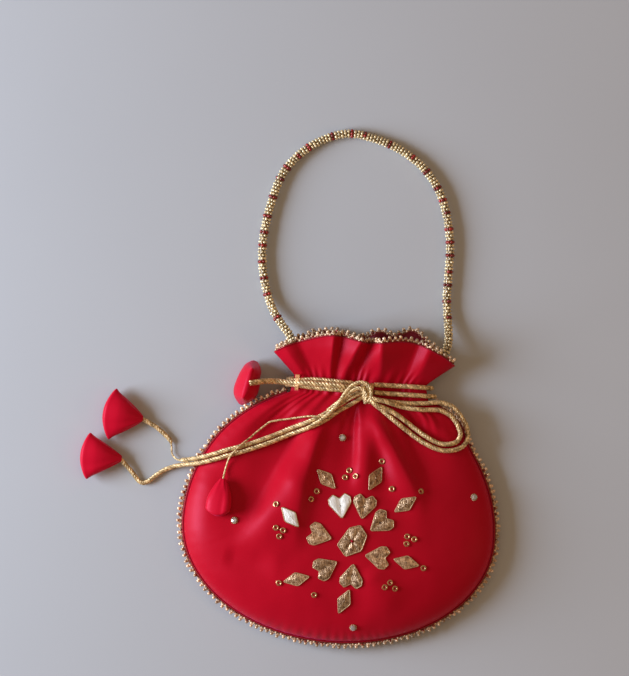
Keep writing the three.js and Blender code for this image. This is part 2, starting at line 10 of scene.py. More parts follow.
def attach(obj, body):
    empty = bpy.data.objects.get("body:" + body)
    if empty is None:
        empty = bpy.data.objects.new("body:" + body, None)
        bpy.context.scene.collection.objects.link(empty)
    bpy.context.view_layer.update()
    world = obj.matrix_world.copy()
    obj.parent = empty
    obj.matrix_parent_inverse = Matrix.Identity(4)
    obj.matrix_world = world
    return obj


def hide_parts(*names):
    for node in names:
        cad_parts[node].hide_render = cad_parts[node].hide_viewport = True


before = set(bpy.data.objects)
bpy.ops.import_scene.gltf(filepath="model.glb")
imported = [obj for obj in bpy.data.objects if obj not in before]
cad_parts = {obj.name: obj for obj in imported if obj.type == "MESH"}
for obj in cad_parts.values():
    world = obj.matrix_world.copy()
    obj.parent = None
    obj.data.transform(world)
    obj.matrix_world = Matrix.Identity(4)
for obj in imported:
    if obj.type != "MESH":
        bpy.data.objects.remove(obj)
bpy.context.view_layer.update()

bl_info = {
    "name": "Potli bag",
    "version": (1, 0, 0),
    "blender": (4, 5, 0),
    "location": "View3D > Sidebar > Potli",
    "description": "Dresses a drawstring potli bag in satin, gold cord, beads and ribbon work",
    "category": "Object",
}

MM = 0.001
SMALLEST_SIZE = 0.05 * MM
WHITE = (1, 1, 1, 1)


def srgb(code):
    """A hex colour as the linear RGBA that a shader socket takes."""
    parts = [int(code[i : i + 2], 16) / 255 for i in (0, 2, 4)]
    return tuple(p / 12.92 if p <= 0.04045 else ((p + 0.055) / 1.055) ** 2.4 for p in parts) + (1.0,)


def size_property(name, millimetres, description):
    return bpy.props.FloatProperty(
        name=name,
        description=description,
        default=millimetres * MM,
        min=SMALLEST_SIZE,
        unit="LENGTH",
        subtype="DISTANCE",
    )


def colour_property(name, code, description):
    return bpy.props.FloatVectorProperty(
        name=name,
        description=description,
        default=srgb(code),
        size=4,
        min=0.0,
        max=1.0,
        subtype="COLOR",
    )


class PotliSizes(bpy.types.PropertyGroup):
    """Real sizes that a user of the bag would change"""

    cloth: size_property("Cloth", 0.9, "Thickness of the satin with its lining")
    lace_pitch: size_property("Lace pitch", 3.7, "From one lace tooth to the next")
    lace_height: size_property("Lace height", 3.1, "How far a lace tooth stands out of the seam")
    handle: size_property("Handle", 6.2, "Outer diameter of the beaded handle")
    bead: size_property("Bead", 2.2, "Diameter of one seed bead")
    cord: size_property("Cord", 3.3, "Diameter of the drawstring")
    ribbon: size_property("Ribbon", 0.7, "Thickness of a ribbon patch")
    sequin: size_property("Sequin", 3.8, "Diameter of a ring sequin")
    stone: size_property("Stone", 4.4, "Diameter of a glass stone")


class PotliColours(bpy.types.PropertyGroup):
    """Colours of the bag"""

    satin: colour_property("Satin", "B60A20", "Satin of the pouch")
    # The lining's dark maroon is partly its own colour and partly painted shade inside the mouth
    lining: colour_property("Lining", "5E1418", "Lining seen inside the mouth")
    tassel: colour_property("Tassel", "C60D29", "Satin of the tassels")
    piping: colour_property("Piping", "93101C", "Dark stitched line along the seam")
    gold_cord: colour_property("Gold cord", "FBDDA6", "Drawstring")
    # Painted shade: the dark speckle of the gold cords stands for the hollows between their strands
    painted_gold_shade: colour_property("Dark gold", "86683A", "Hollows between metallic threads")
    bead: colour_property("Gold bead", "F0DCAE", "Seed beads of the handle")
    bead_red: colour_property("Red bead", "A02A22", "Accent beads of the handle")
    ribbon: colour_property("Gold ribbon", "DEBF9A", "Ribbon patches")
    ribbon_dark: colour_property("Dark ribbon", "58361F", "Silk between the ribbon's foil threads")
    # Painted glare: near white that stands for the lamp's reflection on the foil of two patches
    painted_glare: colour_property("Pale ribbon", "F6F3EA", "The palest ribbon patches")
    lace: colour_property("Lace", "FFDDB6", "Gold teeth of the lace")
    lace_red: colour_property("Lace red", "8A3A2C", "Dark teeth and braid of the lace")
    sequin: colour_property("Sequin", "D8A878", "Ring sequins")
    stone: colour_property("Stone", "DDE2E8", "Glass stones")
    paper: colour_property("Paper", "BABFC4", "Paper that the bag lies on")


# Plan and heights of the cloth in millimetres, the same as the solid panels'
POUCH_HALF_WIDTH = 101.5
WIDEST_Y = -4.5
BOTTOM_DEPTH = 72.6
SHOULDER_HEIGHT = 97.0
NECK_HALF_WIDTH = 42.5
NECK_BAND = 11.0
CORNER_ANGLE = math.radians(-50)
FRILL_SIDE_RISE = 14.0
FRILL_RISE = 26.5
MOUTH_HALF_WIDTH = 59.4
MOUTH_DIP = 1.8
MOUTH_WAVE_AT = 0.47
MOUTH_WAVE_LENGTH = 0.87
TOP_LEAN = 9.2
LEAN_FROM_Y = 50.0
LEAN_TO_Y = 125.0
SHOULDER_FULLNESS = 8.0
SHOULDER_Y = 76.0
SHOULDER_REACH = 14.0
SEAM_GAP = 0.15
EDGE_RISE = 1.0
FLOOR_GAP = 0.02
SEAM_Z = 6.0
NECK_Z = 10.5
MOUTH_Z = 11.0
BELLY_RISE = 21.0
BACK_DROP = 20.0
NECK_RISE = 3.6
MOUTH_RISE = 10.0
MOUTH_DROP = 5.5
SIDE_FULLNESS = 2.6
FOOT_FULLNESS = 2.4
FOOT_REACH = 0.5
EDGE_ROUNDING = 0.6
NECK_ANGLE = math.acos(NECK_HALF_WIDTH / POUCH_HALF_WIDTH)
NECK_Y = WIDEST_Y + SHOULDER_HEIGHT * math.sin(NECK_ANGLE)
FRILL_Y = NECK_Y + NECK_BAND

# Gathers stand a little unevenly: how far each wave shifts them, and its rate across the cloth
GATHER_SHIFTS = [(0.05, 3 * math.pi), (0.012, 17)]

# Fine detail of the front cloth
PLEATS = 15
PLEAT_DEPTH = 0.8
SHOULDER_PLEAT = 0.7
FRILL_LIFT = 5.0
WRINKLE = 0.55
WRINKLE_LENGTH = 26.0
FRILL_WRINKLE = 0.3
FRILL_WRINKLE_CLOSENESS = 1.8
PUCKER = 0.35
PUCKER_PITCH = 7.0
PUCKER_REACH = 7.0
PUCKER_RADIUS = 90.0
PUCKER_DRIFT = 2.0
PUCKER_DRIFT_WAVES = 5
FOOT_TO_NECK = 170.0
CREST_BLUR = (-1.4, -0.7, 0, 0.7, 1.4)
# Smaller wrinkles on the wrinkles: their share of the height, how much closer they are, and the slices
# of the noise that both are taken from
FINE_WRINKLE = 0.45
FINE_WRINKLE_CLOSENESS = 2.3
WRINKLE_SLICE = 0.3
FINE_WRINKLE_SLICE = 4.1

# Shares of the way up the pouch where the cloth changes
SEAM_RISES_FROM = 0.55
BELLY_FALLS_FROM = 0.5
BACK_FALLS_FROM = 0.6
BACK_GATHERS_FROM = 0.8
SHOULDER_PLEATS_FROM = 0.74
NECK_PLEATS_FROM = 0.93
# Shares of the way up the frill
FRILL_LIFTED_AT = 0.8
PLEATS_OPEN_AT = 0.45
PLANES_FROM = -0.35
PLANES_FULL_AT = 0.75

# Plain gathers of the back cloth, and the humps of its upper edge: height, x and reach
BACK_GATHERS = 9
BACK_GATHER_DEPTH = 1.2
BACK_FLUTES = 5
BACK_FLUTE_DEPTH = 2.0
BACK_EDGE_RISE = 1.6
BACK_HUMPS = [(5.5, 17.0, 7.0), (6.0, 39.0, 8.0), (1.2, -22.0, 9.0)]

# Crests and valleys of the frill: x at the neck, x at the mouth and height there
FRILL_PLANES = [
    (-37.0, -51.0, -1.0),
    (-31.5, -46.0, 5.5),
    (-24.5, -36.5, -4.6),
    (-13.2, -11.8, 3.8),
    (-10.8, -9.0, -3.0),
    (-5.6, 6.0, 3.6),
    (2.5, 11.0, -5.6),
    (19.6, 18.0, 4.2),
    (34.0, 42.4, -5.2),
    (42.4, 50.3, 2.8),
    (51.0, 67.0, -1.0),
]

# Long folds of the front: line from the neck down, half widths to the left and right, and height,
# which is below zero for a valley
FOLDS = [
    ([(15, 78), (16.5, 66), (16, 54), (15, 42), (13.5, 29), (12, 10)], 9.0, 8.0, 4.2),
    ([(4.4, 79), (4.2, 62), (4.6, 48), (4.4, 34), (3, 20)], 11.0, 3.4, -3.6),
    ([(-14, 72), (-20, 52), (-23.4, 38), (-26, 24), (-27.4, 10), (-28.6, -7), (-30, -28)], 10.0, 6.0, 4.8),
    ([(-28, 74), (-38, 51), (-47, 31), (-56.5, 10.5), (-65, -7), (-74, -23)], 22.0, 9.0, -7.0),
    ([(-29, 42), (-37.5, 22), (-47, 3), (-56, -12), (-69, -29)], 8.0, 14.0, 4.0),
    ([(-88, 32), (-94, 10), (-93.6, -6), (-88, -21), (-78, -36)], 6.0, 14.0, 3.4),
    ([(18, 76), (27.5, 57), (35.4, 44), (43.4, 31), (50, 19), (54.5, 2)], 9.0, 5.0, 4.4),
    ([(14, 72), (20.4, 50), (25, 36), (29.5, 17)], 6.5, 5.0, -2.4),
    ([(35, 74), (47, 52), (57, 36), (61.5, 16)], 5.0, 11.0, -3.0),
    ([(38, 82), (54, 72), (66, 63), (76, 46)], 5.0, 5.0, 2.6),
    ([(-74, -26), (-54, -29), (-37, -31)], 8.0, 8.0, -1.8),
    ([(-38, 86), (-54, 71), (-67, 59), (-81, 47)], 5.0, 5.0, 2.2),
    ([(-33, 83), (-47, 66), (-60, 54), (-73, 40)], 5.0, 5.0, -2.2),
    ([(20, -26), (34, -46), (42, -62)], 11.0, 11.0, 1.6),
]
# How a fold widens from its upper end to its lower, and the shares of its line where it rises and fades
FOLD_WIDENS = (0.75, 1.25)
FOLD_RISES = (-0.02, 0.22)
FOLD_FADES = (0.55, 1.0)


def smooth(value, low, high):
    """A soft step from 0 at low to 1 at high."""
    share = np.clip((value - low) / (high - low), 0, 1)
    return share * share * (3 - 2 * share)


def mix(a, b, share):
    return a + (b - a) * share


def run_along(line):
    """Distance along a line at each of its points."""
    return np.concatenate([[0], np.cumsum(np.linalg.norm(np.diff(line, axis=0), axis=1))])


def pouch_edge(angle):
    """Outline of the pouch, a half ellipse below its widest line and another above."""
    rise = np.sin(angle)
    height = np.where(rise < 0, BOTTOM_DEPTH, SHOULDER_HEIGHT)
    return POUCH_HALF_WIDTH * np.cos(angle), WIDEST_Y + height * rise


def leaned(x, y):
    """The top leans to the right and the right shoulder stands fuller."""
    lean = TOP_LEAN * smooth(y, LEAN_FROM_Y, LEAN_TO_Y)
    level = np.exp(-(((y - SHOULDER_Y) / SHOULDER_REACH) ** 2))
    return x + lean + SHOULDER_FULLNESS * level * smooth(x, 0, NECK_HALF_WIDTH), y


def mouth_edge(across, extra):
    """Wavy upper edge of the frill; extra is how much higher it stands."""
    wave = MOUTH_DIP * np.cos(2 * np.pi * (across - MOUTH_WAVE_AT) / MOUTH_WAVE_LENGTH) * (1 - across**2)
    rise = mix(FRILL_RISE, FRILL_SIDE_RISE, across**4)
    return MOUTH_HALF_WIDTH * across, FRILL_Y + rise + wave + extra * (1 - across**6)


def cloth_plan(across, along, extra):
    """Plan of the cloth: along is 0 at the bottom, 1 and 2 at the neck band, 3 at the mouth."""
    low = np.minimum(along, 1)
    side_x, side_y = pouch_edge(mix(CORNER_ANGLE, NECK_ANGLE, low))
    foot_x, foot_y = pouch_edge(-np.pi / 2 + across * (CORNER_ANGLE + np.pi / 2))
    corner_x, corner_y = pouch_edge(np.full_like(along, CORNER_ANGLE))
    body_x = across * side_x + (1 - low) * (foot_x - across * corner_x)
    body_y = side_y + (1 - low) * (foot_y - corner_y)
    neck_y = NECK_Y + NECK_BAND * np.clip(along - 1, 0, 1)
    flared = np.maximum(along - 2, 0)
    edge_x, edge_y = mouth_edge(across, extra)
    top_x = mix(NECK_HALF_WIDTH * across, edge_x, flared)
    top_y = mix(neck_y, edge_y, flared)
    return leaned(np.where(along <= 1, body_x, top_x), np.where(along <= 1, body_y, top_y))


def seam_height(along):
    """The seam lies lower round the belly than at the neck."""
    low = mix(SEAM_Z, NECK_Z, smooth(along, SEAM_RISES_FROM, 1))
    return np.where(along <= 1, low, mix(NECK_Z, MOUTH_Z, np.maximum(along - 2, 0)))


def swell(across):
    return np.maximum(1 - np.abs(across) ** SIDE_FULLNESS, 0) ** EDGE_ROUNDING


def belly_swell(along):
    return (1 - np.maximum(1 - along / FOOT_REACH, 0) ** FOOT_FULLNESS) ** EDGE_ROUNDING


def ripple(across, count):
    """Gathers side by side, a little uneven, that fade out towards the sides."""
    uneven = across
    for shift, rate in GATHER_SHIFTS:
        uneven = uneven + shift * np.sin(rate * across)
    return (0.5 - 0.5 * np.cos(np.pi * count * (uneven + 1))) * (1 - across**4)


def fold_height(x, y):
    """Sum of the long folds at points of the plan."""
    total = np.zeros_like(x)
    for line, left, right, height in FOLDS:
        points = np.array(line, float)
        run = run_along(points)
        best = np.full_like(x, np.inf)
        side = np.zeros_like(x)
        place = np.zeros_like(x)
        for i in range(len(points) - 1):
            start, step = points[i], points[i + 1] - points[i]
            length = run[i + 1] - run[i]
            share = ((x - start[0]) * step[0] + (y - start[1]) * step[1]) / length**2
            share = np.clip(share, 0, 1)
            off_x = x - start[0] - share * step[0]
            off_y = y - start[1] - share * step[1]
            away = np.hypot(off_x, off_y)
            nearer = away < best
            best = np.where(nearer, away, best)
            side = np.where(nearer, step[0] * off_y - step[1] * off_x, side)
            place = np.where(nearer, (run[i] + share * length) / run[-1], place)
        width = np.where(side < 0, left, right) * mix(*FOLD_WIDENS, place)
        fade = smooth(place, *FOLD_RISES) * (1 - smooth(place, *FOLD_FADES))
        total += height * fade * np.exp(-((best / width) ** 2))
    return total


def frill_planes(x, flared):
    """Height of the frill's slanted planes, row by row, rounded at their crests and valleys."""
    neck, mouth, height = np.array(FRILL_PLANES).T
    total = np.zeros_like(x)
    for row in range(len(x)):
        places = mix(neck, mouth, flared[row, 0])
        blurs = [np.interp(x[row] + shift, places, height) for shift in CREST_BLUR]
        total[row] = np.mean(blurs, axis=0)
    return total


def wrinkles(x, y):
    """Small uneven creases of thin satin."""
    flat = np.stack([x.ravel(), y.ravel()], axis=1) / WRINKLE_LENGTH
    large = [noise.noise((a, b, WRINKLE_SLICE)) for a, b in flat]
    small = [noise.noise((a, b, FINE_WRINKLE_SLICE)) for a, b in FINE_WRINKLE_CLOSENESS * flat]
    return (np.array(large) + FINE_WRINKLE * np.array(small)).reshape(x.shape)


def edge_puckers(across, along, x, y):
    """Ripples where the seam draws the cloth in."""
    turn = np.arctan2(y, x)
    inside_side = (1 - np.abs(across)) * POUCH_HALF_WIDTH
    inside = np.where(along <= 1, np.minimum(inside_side, along * FOOT_TO_NECK), np.inf)
    waves = 2 * np.pi * PUCKER_RADIUS * turn / PUCKER_PITCH
    drift = PUCKER_DRIFT * np.sin(PUCKER_DRIFT_WAVES * turn)
    return PUCKER * np.cos(waves + drift) * np.exp(-((inside / PUCKER_REACH) ** 2))


def front_rise(across, along, x, y):
    """Height of the front over the seam: belly and folds up to the neck, then the frill's planes."""
    full = swell(across)
    body = np.minimum(along, 1)
    flared = np.maximum(along - 2, 0)
    pleats = ripple(across, PLEATS)
    belly = full * mix(BELLY_RISE * belly_swell(body), NECK_RISE, smooth(body, BELLY_FALLS_FROM, 1))
    shoulder = SHOULDER_PLEAT * smooth(body, SHOULDER_PLEATS_FROM, NECK_PLEATS_FROM)
    depth = mix(shoulder, PLEAT_DEPTH, smooth(body, NECK_PLEATS_FROM, 1))
    low = belly + depth * pleats + full * fold_height(x, y)
    low = low + full * WRINKLE * wrinkles(x, y) + full * edge_puckers(across, along, x, y)
    lift = full * (mix(NECK_RISE, MOUTH_RISE, flared) + FRILL_LIFT * smooth(flared, 0, FRILL_LIFTED_AT))
    planes = full * frill_planes(x, flared) * smooth(flared, PLANES_FROM, PLANES_FULL_AT)
    high = lift + PLEAT_DEPTH * (1 - smooth(flared, 0, PLEATS_OPEN_AT)) * pleats + planes
    closer = wrinkles(x * FRILL_WRINKLE_CLOSENESS, y * FRILL_WRINKLE_CLOSENESS)
    high = high + FRILL_WRINKLE * full * closer
    return np.where(along <= 1, low, high)


def back_drop(across, along):
    """Depth of the back under the seam."""
    full = swell(across)
    body = np.minimum(along, 1)
    flared = np.maximum(along - 2, 0)
    gather = BACK_GATHER_DEPTH * ripple(across, BACK_GATHERS)
    flutes = BACK_FLUTE_DEPTH * ripple(across, BACK_FLUTES)
    belly = mix(BACK_DROP * belly_swell(body), NECK_RISE, smooth(body, BACK_FALLS_FROM, 1))
    low = full * belly + gather * smooth(body, BACK_GATHERS_FROM, 1)
    high = full * mix(NECK_RISE, MOUTH_DROP, flared) + mix(gather, flutes, flared)
    return np.where(along <= 1, low, high)


def back_extra(across):
    """The back of the frill stands higher than the front, most of all right of the middle."""
    x = MOUTH_HALF_WIDTH * across + TOP_LEAN
    humps = [height * np.exp(-(((x - at) / reach) ** 2)) for height, at, reach in BACK_HUMPS]
    return BACK_EDGE_RISE + sum(humps)


def front_points(across, along):
    """Points of the front cloth; across is -1 at its left side and 1 at its right."""
    x, y = cloth_plan(across, along, np.zeros_like(along))
    z = seam_height(along) + SEAM_GAP + EDGE_RISE + front_rise(across, along, x, y)
    return np.stack([x, y, z], axis=-1)


def back_points(across, along):
    """Points of the back cloth, which lies flat on the paper."""
    x, y = cloth_plan(across, along, back_extra(across))
    z = seam_height(along) - SEAM_GAP - EDGE_RISE - back_drop(across, along)
    return np.stack([x, y, np.maximum(z, FLOOR_GAP)], axis=-1)


def row_places(body, band, frill):
    """Rows of the cloth from the bottom to the mouth."""
    low = np.linspace(0, 1, body, endpoint=False)
    middle = np.linspace(1, 2, band, endpoint=False)
    return np.concatenate([low, middle, np.linspace(2, 3, frill + 1)])


# Mesh helpers


def grid_faces(rows, columns, wrap=False):
    """Quads of a grid of points, row by row; wrap joins the last column to the first."""
    last = columns if wrap else columns - 1
    r, c = np.meshgrid(np.arange(rows - 1), np.arange(last), indexing="ij")
    a = r * columns + c
    b = r * columns + (c + 1) % columns
    return np.stack([a, b, b + columns, a + columns], axis=-1).reshape(-1, 4)


class Builder:
    """Collects points and faces of several closed forms into one mesh."""

    def __init__(self):
        self.points = []
        self.faces = []
        self.slots = []
        self.tints = []
        self.count = 0

    def add(self, points, faces, slot=0, tint=WHITE):
        points = np.asarray(points, float).reshape(-1, 3)
        self.points.append(points)
        self.faces.extend((np.asarray(f) + self.count).tolist() for f in faces)
        self.slots.extend([slot] * len(faces))
        self.tints.append(np.tile(np.asarray(tint, float), (len(points), 1)))
        self.count += len(points)

    def tube(self, path, radius, sides=8, slot=0, tint=WHITE):
        """A closed round tube along a path; radius is one number or one for each point."""
        path = np.asarray(path, float)
        across, upward = frames_along(path)
        turn = np.linspace(0, 2 * np.pi, sides, endpoint=False)[:, None]
        ring = across[:, None] * np.cos(turn) + upward[:, None] * np.sin(turn)
        reach = np.broadcast_to(np.asarray(radius, float), (len(path),))
        points = path[:, None] + ring * reach[:, None, None]
        faces = [list(f) for f in grid_faces(len(path), sides, True)]
        faces.append(list(range(sides))[::-1])
        faces.append([(len(path) - 1) * sides + i for i in range(sides)])
        self.add(points, faces, slot, tint)

    def ball(self, centre, axes, rings=5, sides=8, slot=0, tint=WHITE, shape=None):
        """A closed rounded form; axes are three half-size vectors and shape bends the unit ball."""
        points = [(0, 0, -1)]
        turns = [2 * math.pi * k / sides for k in range(sides)]
        for i in range(1, rings):
            tilt = math.pi * i / rings - math.pi / 2
            flat, rise = math.cos(tilt), math.sin(tilt)
            points += [(flat * math.cos(turn), flat * math.sin(turn), rise) for turn in turns]
        points.append((0, 0, 1))
        faces = [[0, 1 + (k + 1) % sides, 1 + k] for k in range(sides)]
        faces += [[1 + f for f in quad] for quad in grid_faces(rings - 1, sides, True).tolist()]
        top = 1 + (rings - 2) * sides
        faces += [[top + k, top + (k + 1) % sides, len(points) - 1] for k in range(sides)]
        unit = np.array(points, float)
        if shape is not None:
            unit = shape(unit)
        self.add(np.asarray(centre, float) + unit @ np.array(axes, float), faces, slot, tint)

    def build(self, name, materials, tinted=False):
        """The finished object, in metres."""
        mesh = bpy.data.meshes.new(name)
        points = np.concatenate(self.points) * MM
        mesh.from_pydata(points.tolist(), [], self.faces)
        mesh.polygons.foreach_set("use_smooth", [True] * len(mesh.polygons))
        mesh.polygons.foreach_set("material_index", self.slots)
        for material in materials:
            mesh.materials.append(material)
        if tinted:
            layer = mesh.color_attributes.new("tint", "FLOAT_COLOR", "POINT")
            layer.data.foreach_set("color", np.concatenate(self.tints).ravel().tolist())
        mesh.update()
        made = bpy.data.objects.new(name, mesh)
        bpy.context.scene.collection.objects.link(made)
        return made


# A path that sets out steeper than this takes its first side from X
STEEP = 0.9


def frames_along(path):
    """Two unit vectors square to a path at each of its points, turning as little as they can."""
    tangent = np.gradient(path, axis=0)
    tangent /= np.linalg.norm(tangent, axis=1)[:, None]
    start = np.array([0.0, 0.0, 1.0]) if abs(tangent[0][2]) < STEEP else np.array([1.0, 0.0, 0.0])
    across = np.zeros_like(path)
    side = np.cross(tangent[0], start)
    for i, t in enumerate(tangent):
        side = side - t * np.dot(side, t)
        side /= np.linalg.norm(side)
        across[i] = side
    return across, np.cross(tangent, across)


SPLINE_STEPS = 24


def spline(route, step):
    """Points a step apart on a smooth curve through a route, in millimetres."""
    p = np.array(route, float)
    p = np.vstack([2 * p[0] - p[1], p, 2 * p[-1] - p[-2]])
    out = []
    for p0, p1, p2, p3 in zip(p[:-3], p[1:-2], p[2:-1], p[3:]):
        t0 = 0.0
        t1 = t0 + math.sqrt(np.linalg.norm(p1 - p0))
        t2 = t1 + math.sqrt(np.linalg.norm(p2 - p1))
        t3 = t2 + math.sqrt(np.linalg.norm(p3 - p2))
        t = np.linspace(t1, t2, SPLINE_STEPS, endpoint=False)[:, None]
        a1 = (t1 - t) / (t1 - t0) * p0 + (t - t0) / (t1 - t0) * p1
        a2 = (t2 - t) / (t2 - t1) * p1 + (t - t1) / (t2 - t1) * p2
        a3 = (t3 - t) / (t3 - t2) * p2 + (t - t2) / (t3 - t2) * p3
        b1 = (t2 - t) / (t2 - t0) * a1 + (t - t0) / (t2 - t0) * a2
        b2 = (t3 - t) / (t3 - t1) * a2 + (t - t1) / (t3 - t1) * a3
        out.append((t2 - t) / (t2 - t1) * b1 + (t - t1) / (t2 - t1) * b2)
    dense = np.vstack(out + [p[-2][None]])
    return resampled(dense, step)


def resampled(dense, step):
    """The same line with its points a step apart."""
    run = run_along(dense)
    places = np.linspace(0, run[-1], max(int(round(run[-1] / step)), 2) + 1)
    return np.stack([np.interp(places, run, dense[:, k]) for k in range(3)], axis=1)


def length_of(path):
    return float(np.linalg.norm(np.diff(path, axis=0), axis=1).sum())


def tree_of(obj):
    """A search tree of an object's own faces in millimetres."""
    points = [v.co / MM for v in obj.data.vertices]
    return BVHTree.FromPolygons(points, [list(p.vertices) for p in obj.data.polygons])


# Search trees of the fine front cloth and of the solid panel, kept when the cloth is made
TREES = {}
ABOVE_ALL = 200.0
# A point this far under the solid panel's top lies behind the bag and stays where it is
SETTLE_DEPTH = 0.5
SETTLE_STEPS = 9


def cloth_top(x, y, which="front"):
    """Height and outward direction of the cloth under a point of the plan, or None beside it."""
    hit, normal, _, _ = TREES[which].ray_cast(Vector((x, y, ABOVE_ALL)), Vector((0, 0, -1)))
    if hit is None:
        return None
    return hit.z, (normal if normal.z > 0 else -normal)


def settled(path):
    """Lifts or lowers a route by what the fine cloth differs from the solid panel under it."""
    moved = np.array(path, float)
    shift = np.zeros(len(moved))
    for i, (x, y, z) in enumerate(moved):
        fine = cloth_top(x, y)
        plain = cloth_top(x, y, "solid")
        if fine and plain and z > plain[0] - SETTLE_DEPTH:
            shift[i] = fine[0] - plain[0]
    padded = np.pad(shift, SETTLE_STEPS, mode="edge")
    kernel = np.hanning(2 * SETTLE_STEPS + 1)
    moved[:, 2] += np.convolve(padded, kernel / kernel.sum(), mode="valid")
    return moved


# Materials: pattern sizes in millimetres. Real threads and foil are finer than the render can show,
# so weave, ribs and grit are drawn as coarse as they need to be seen

SATIN_CLOUD = 26.3
WARP_PITCH = 0.5067
WEFT_PITCH = 0.6545
WEAVE_DEPTH = 0.12
SATIN_SHEEN = "F0508C"
SATIN_GLINT = "FF8AB0"
# Grit, metal and roughness of each metallic thread
CORD_FINISH = (1.25, 0.28, 0.33)
LACE_FINISH = (0.909, 0.32, 0.36)
EDGING_FINISH = (0.625, 0.45, 0.36)
SEQUIN_FINISH = (2.0, 0.7, 0.24)
# Dark speckle of the sequin foil, painted shade in its hollows
SEQUIN_PAINTED_SHADE = 0.6
THREAD_DEPTH = 0.25
# Brightness of each ribbon's foil and silk, and its metal
RIBBON_FINISH = (1.0, 1.0, 0.7)
LIGHT_RIBBON_FINISH = (1.3, 1.7, 0.6)
# Near white with almost no metal: painted glare of the lamp on two patches
GLARE_PAINTED_FINISH = (1.0, 0.8, 0.05)
RIBBON_RIB = 0.952
RIBBON_GRIT = 2.381
RIBBON_DEPTH = 0.5
BEAD_GRIT = 1.111
STONE_FACET = 1.111
PAPER_CLOUD = 166.7
EDGING_GOLD = "E8CDA4"
# Dark speckle of the lace thread, painted shade in its hollows
LACE_PAINTED_SHADE = (0.58, 0.55, 0.54, 1)


def grain_scale(size):
    """Scale of a noise or cell pattern with grains of a size in millimetres."""
    return 1 / (size * MM)


def rib_scale(pitch):
    """Scale of a wave pattern with ribs a pitch apart in millimetres; at scale 1 they are pi / 10 apart."""
    return math.pi / 10 / (pitch * MM)


def feed(tree, node, inputs):
    """Links each socket of a node to another, or sets its value."""
    for key, value in inputs.items():
        if isinstance(value, bpy.types.NodeSocket):
            tree.links.new(value, node.inputs[key])
        else:
            node.inputs[key].default_value = value


def add_node(tree, kind, inputs=None, **settings):
    """Adds one shader node with its own settings and what its sockets take."""
    made = tree.nodes.new(f"ShaderNode{kind}")
    for key, value in settings.items():
        setattr(made, key, value)
    feed(tree, made, inputs or {})
    return made


def new_material(name):
    """A new material with its nodes, its shader and the place on the piece that patterns follow."""
    made = bpy.data.materials.new(name)
    made.use_nodes = True
    tree = made.node_tree
    tree.nodes.clear()
    shader = add_node(tree, "BsdfPrincipled")
    add_node(tree, "OutputMaterial", {"Surface": shader.outputs["BSDF"]})
    return made, tree, shader, add_node(tree, "TexCoord").outputs["Object"]


def darker(colour, share):
    """A colour times a share, which may also be above 1."""
    return tuple(c * share for c in colour[:3]) + (1.0,)


def satin_material(name, colour):
    """Plain-woven art silk: floats of thread give a broad pink sheen and a very fine rib."""
    made, tree, shader, where = new_material(name)
    cloud = add_node(tree, "TexNoise", {"Vector": where, "Scale": grain_scale(SATIN_CLOUD), "Detail": 3.0})
    share = cloud.outputs["Fac"]
    shades = {"A": darker(colour, 0.9), "B": darker(colour, 1.08)}
    tone = add_node(tree, "Mix", {"Factor": share, **shades}, data_type="RGBA")
    rough = add_node(tree, "MapRange", {"Value": share, "To Min": 0.34, "To Max": 0.46})
    ribs = []
    for direction, pitch in (("X", WARP_PITCH), ("Y", WEFT_PITCH)):
        inputs = {"Vector": where, "Scale": rib_scale(pitch), "Distortion": 1.5}
        ribs.append(add_node(tree, "TexWave", inputs, bands_direction=direction).outputs["Fac"])
    weave = add_node(tree, "Math", {0: ribs[0], 1: ribs[1]}, operation="ADD").outputs[0]
    bump = add_node(tree, "Bump", {"Height": weave, "Strength": 0.12, "Distance": WEAVE_DEPTH * MM})
    feed(tree, shader, {
        "Base Color": tone.outputs["Result"],
        "Normal": bump.outputs["Normal"],
        "Roughness": rough.outputs["Result"],
        "Sheen Weight": 0.30,
        "Sheen Roughness": 0.45,
        "Sheen Tint": srgb(SATIN_SHEEN),
        "Specular IOR Level": 0.26,
        "Specular Tint": srgb(SATIN_GLINT),
    })
    return made


def thread_material(name, light, dark, grit, metal, rough):
    """Metallic thread: bright foil speckle, with dark speckle as painted shade in the hollows between the
    strands.
    """
    made, tree, shader, where = new_material(name)
    foil = {"Vector": where, "Scale": grain_scale(grit), "Detail": 4.0, "Roughness": 0.7}
    speckle = add_node(tree, "TexNoise", foil).outputs["Fac"]
    share = add_node(tree, "MapRange", {"Value": speckle, "From Min": 0.36, "From Max": 0.62})
    tone = add_node(tree, "Mix", {"Factor": share.outputs["Result"], "A": dark, "B": light}, data_type="RGBA")
    tint = add_node(tree, "VertexColor", layer_name="tint")
    both = {"Factor": 1.0, "A": tone.outputs["Result"], "B": tint.outputs["Color"]}
    shade = add_node(tree, "Mix", both, data_type="RGBA", blend_type="MULTIPLY")
    bump = add_node(tree, "Bump", {"Height": speckle, "Strength": 0.5, "Distance": THREAD_DEPTH * MM})
    feed(tree, shader, {
        "Base Color": shade.outputs["Result"],
        "Normal": bump.outputs["Normal"],
        "Metallic": metal,
        "Roughness": rough,
    })
    return made


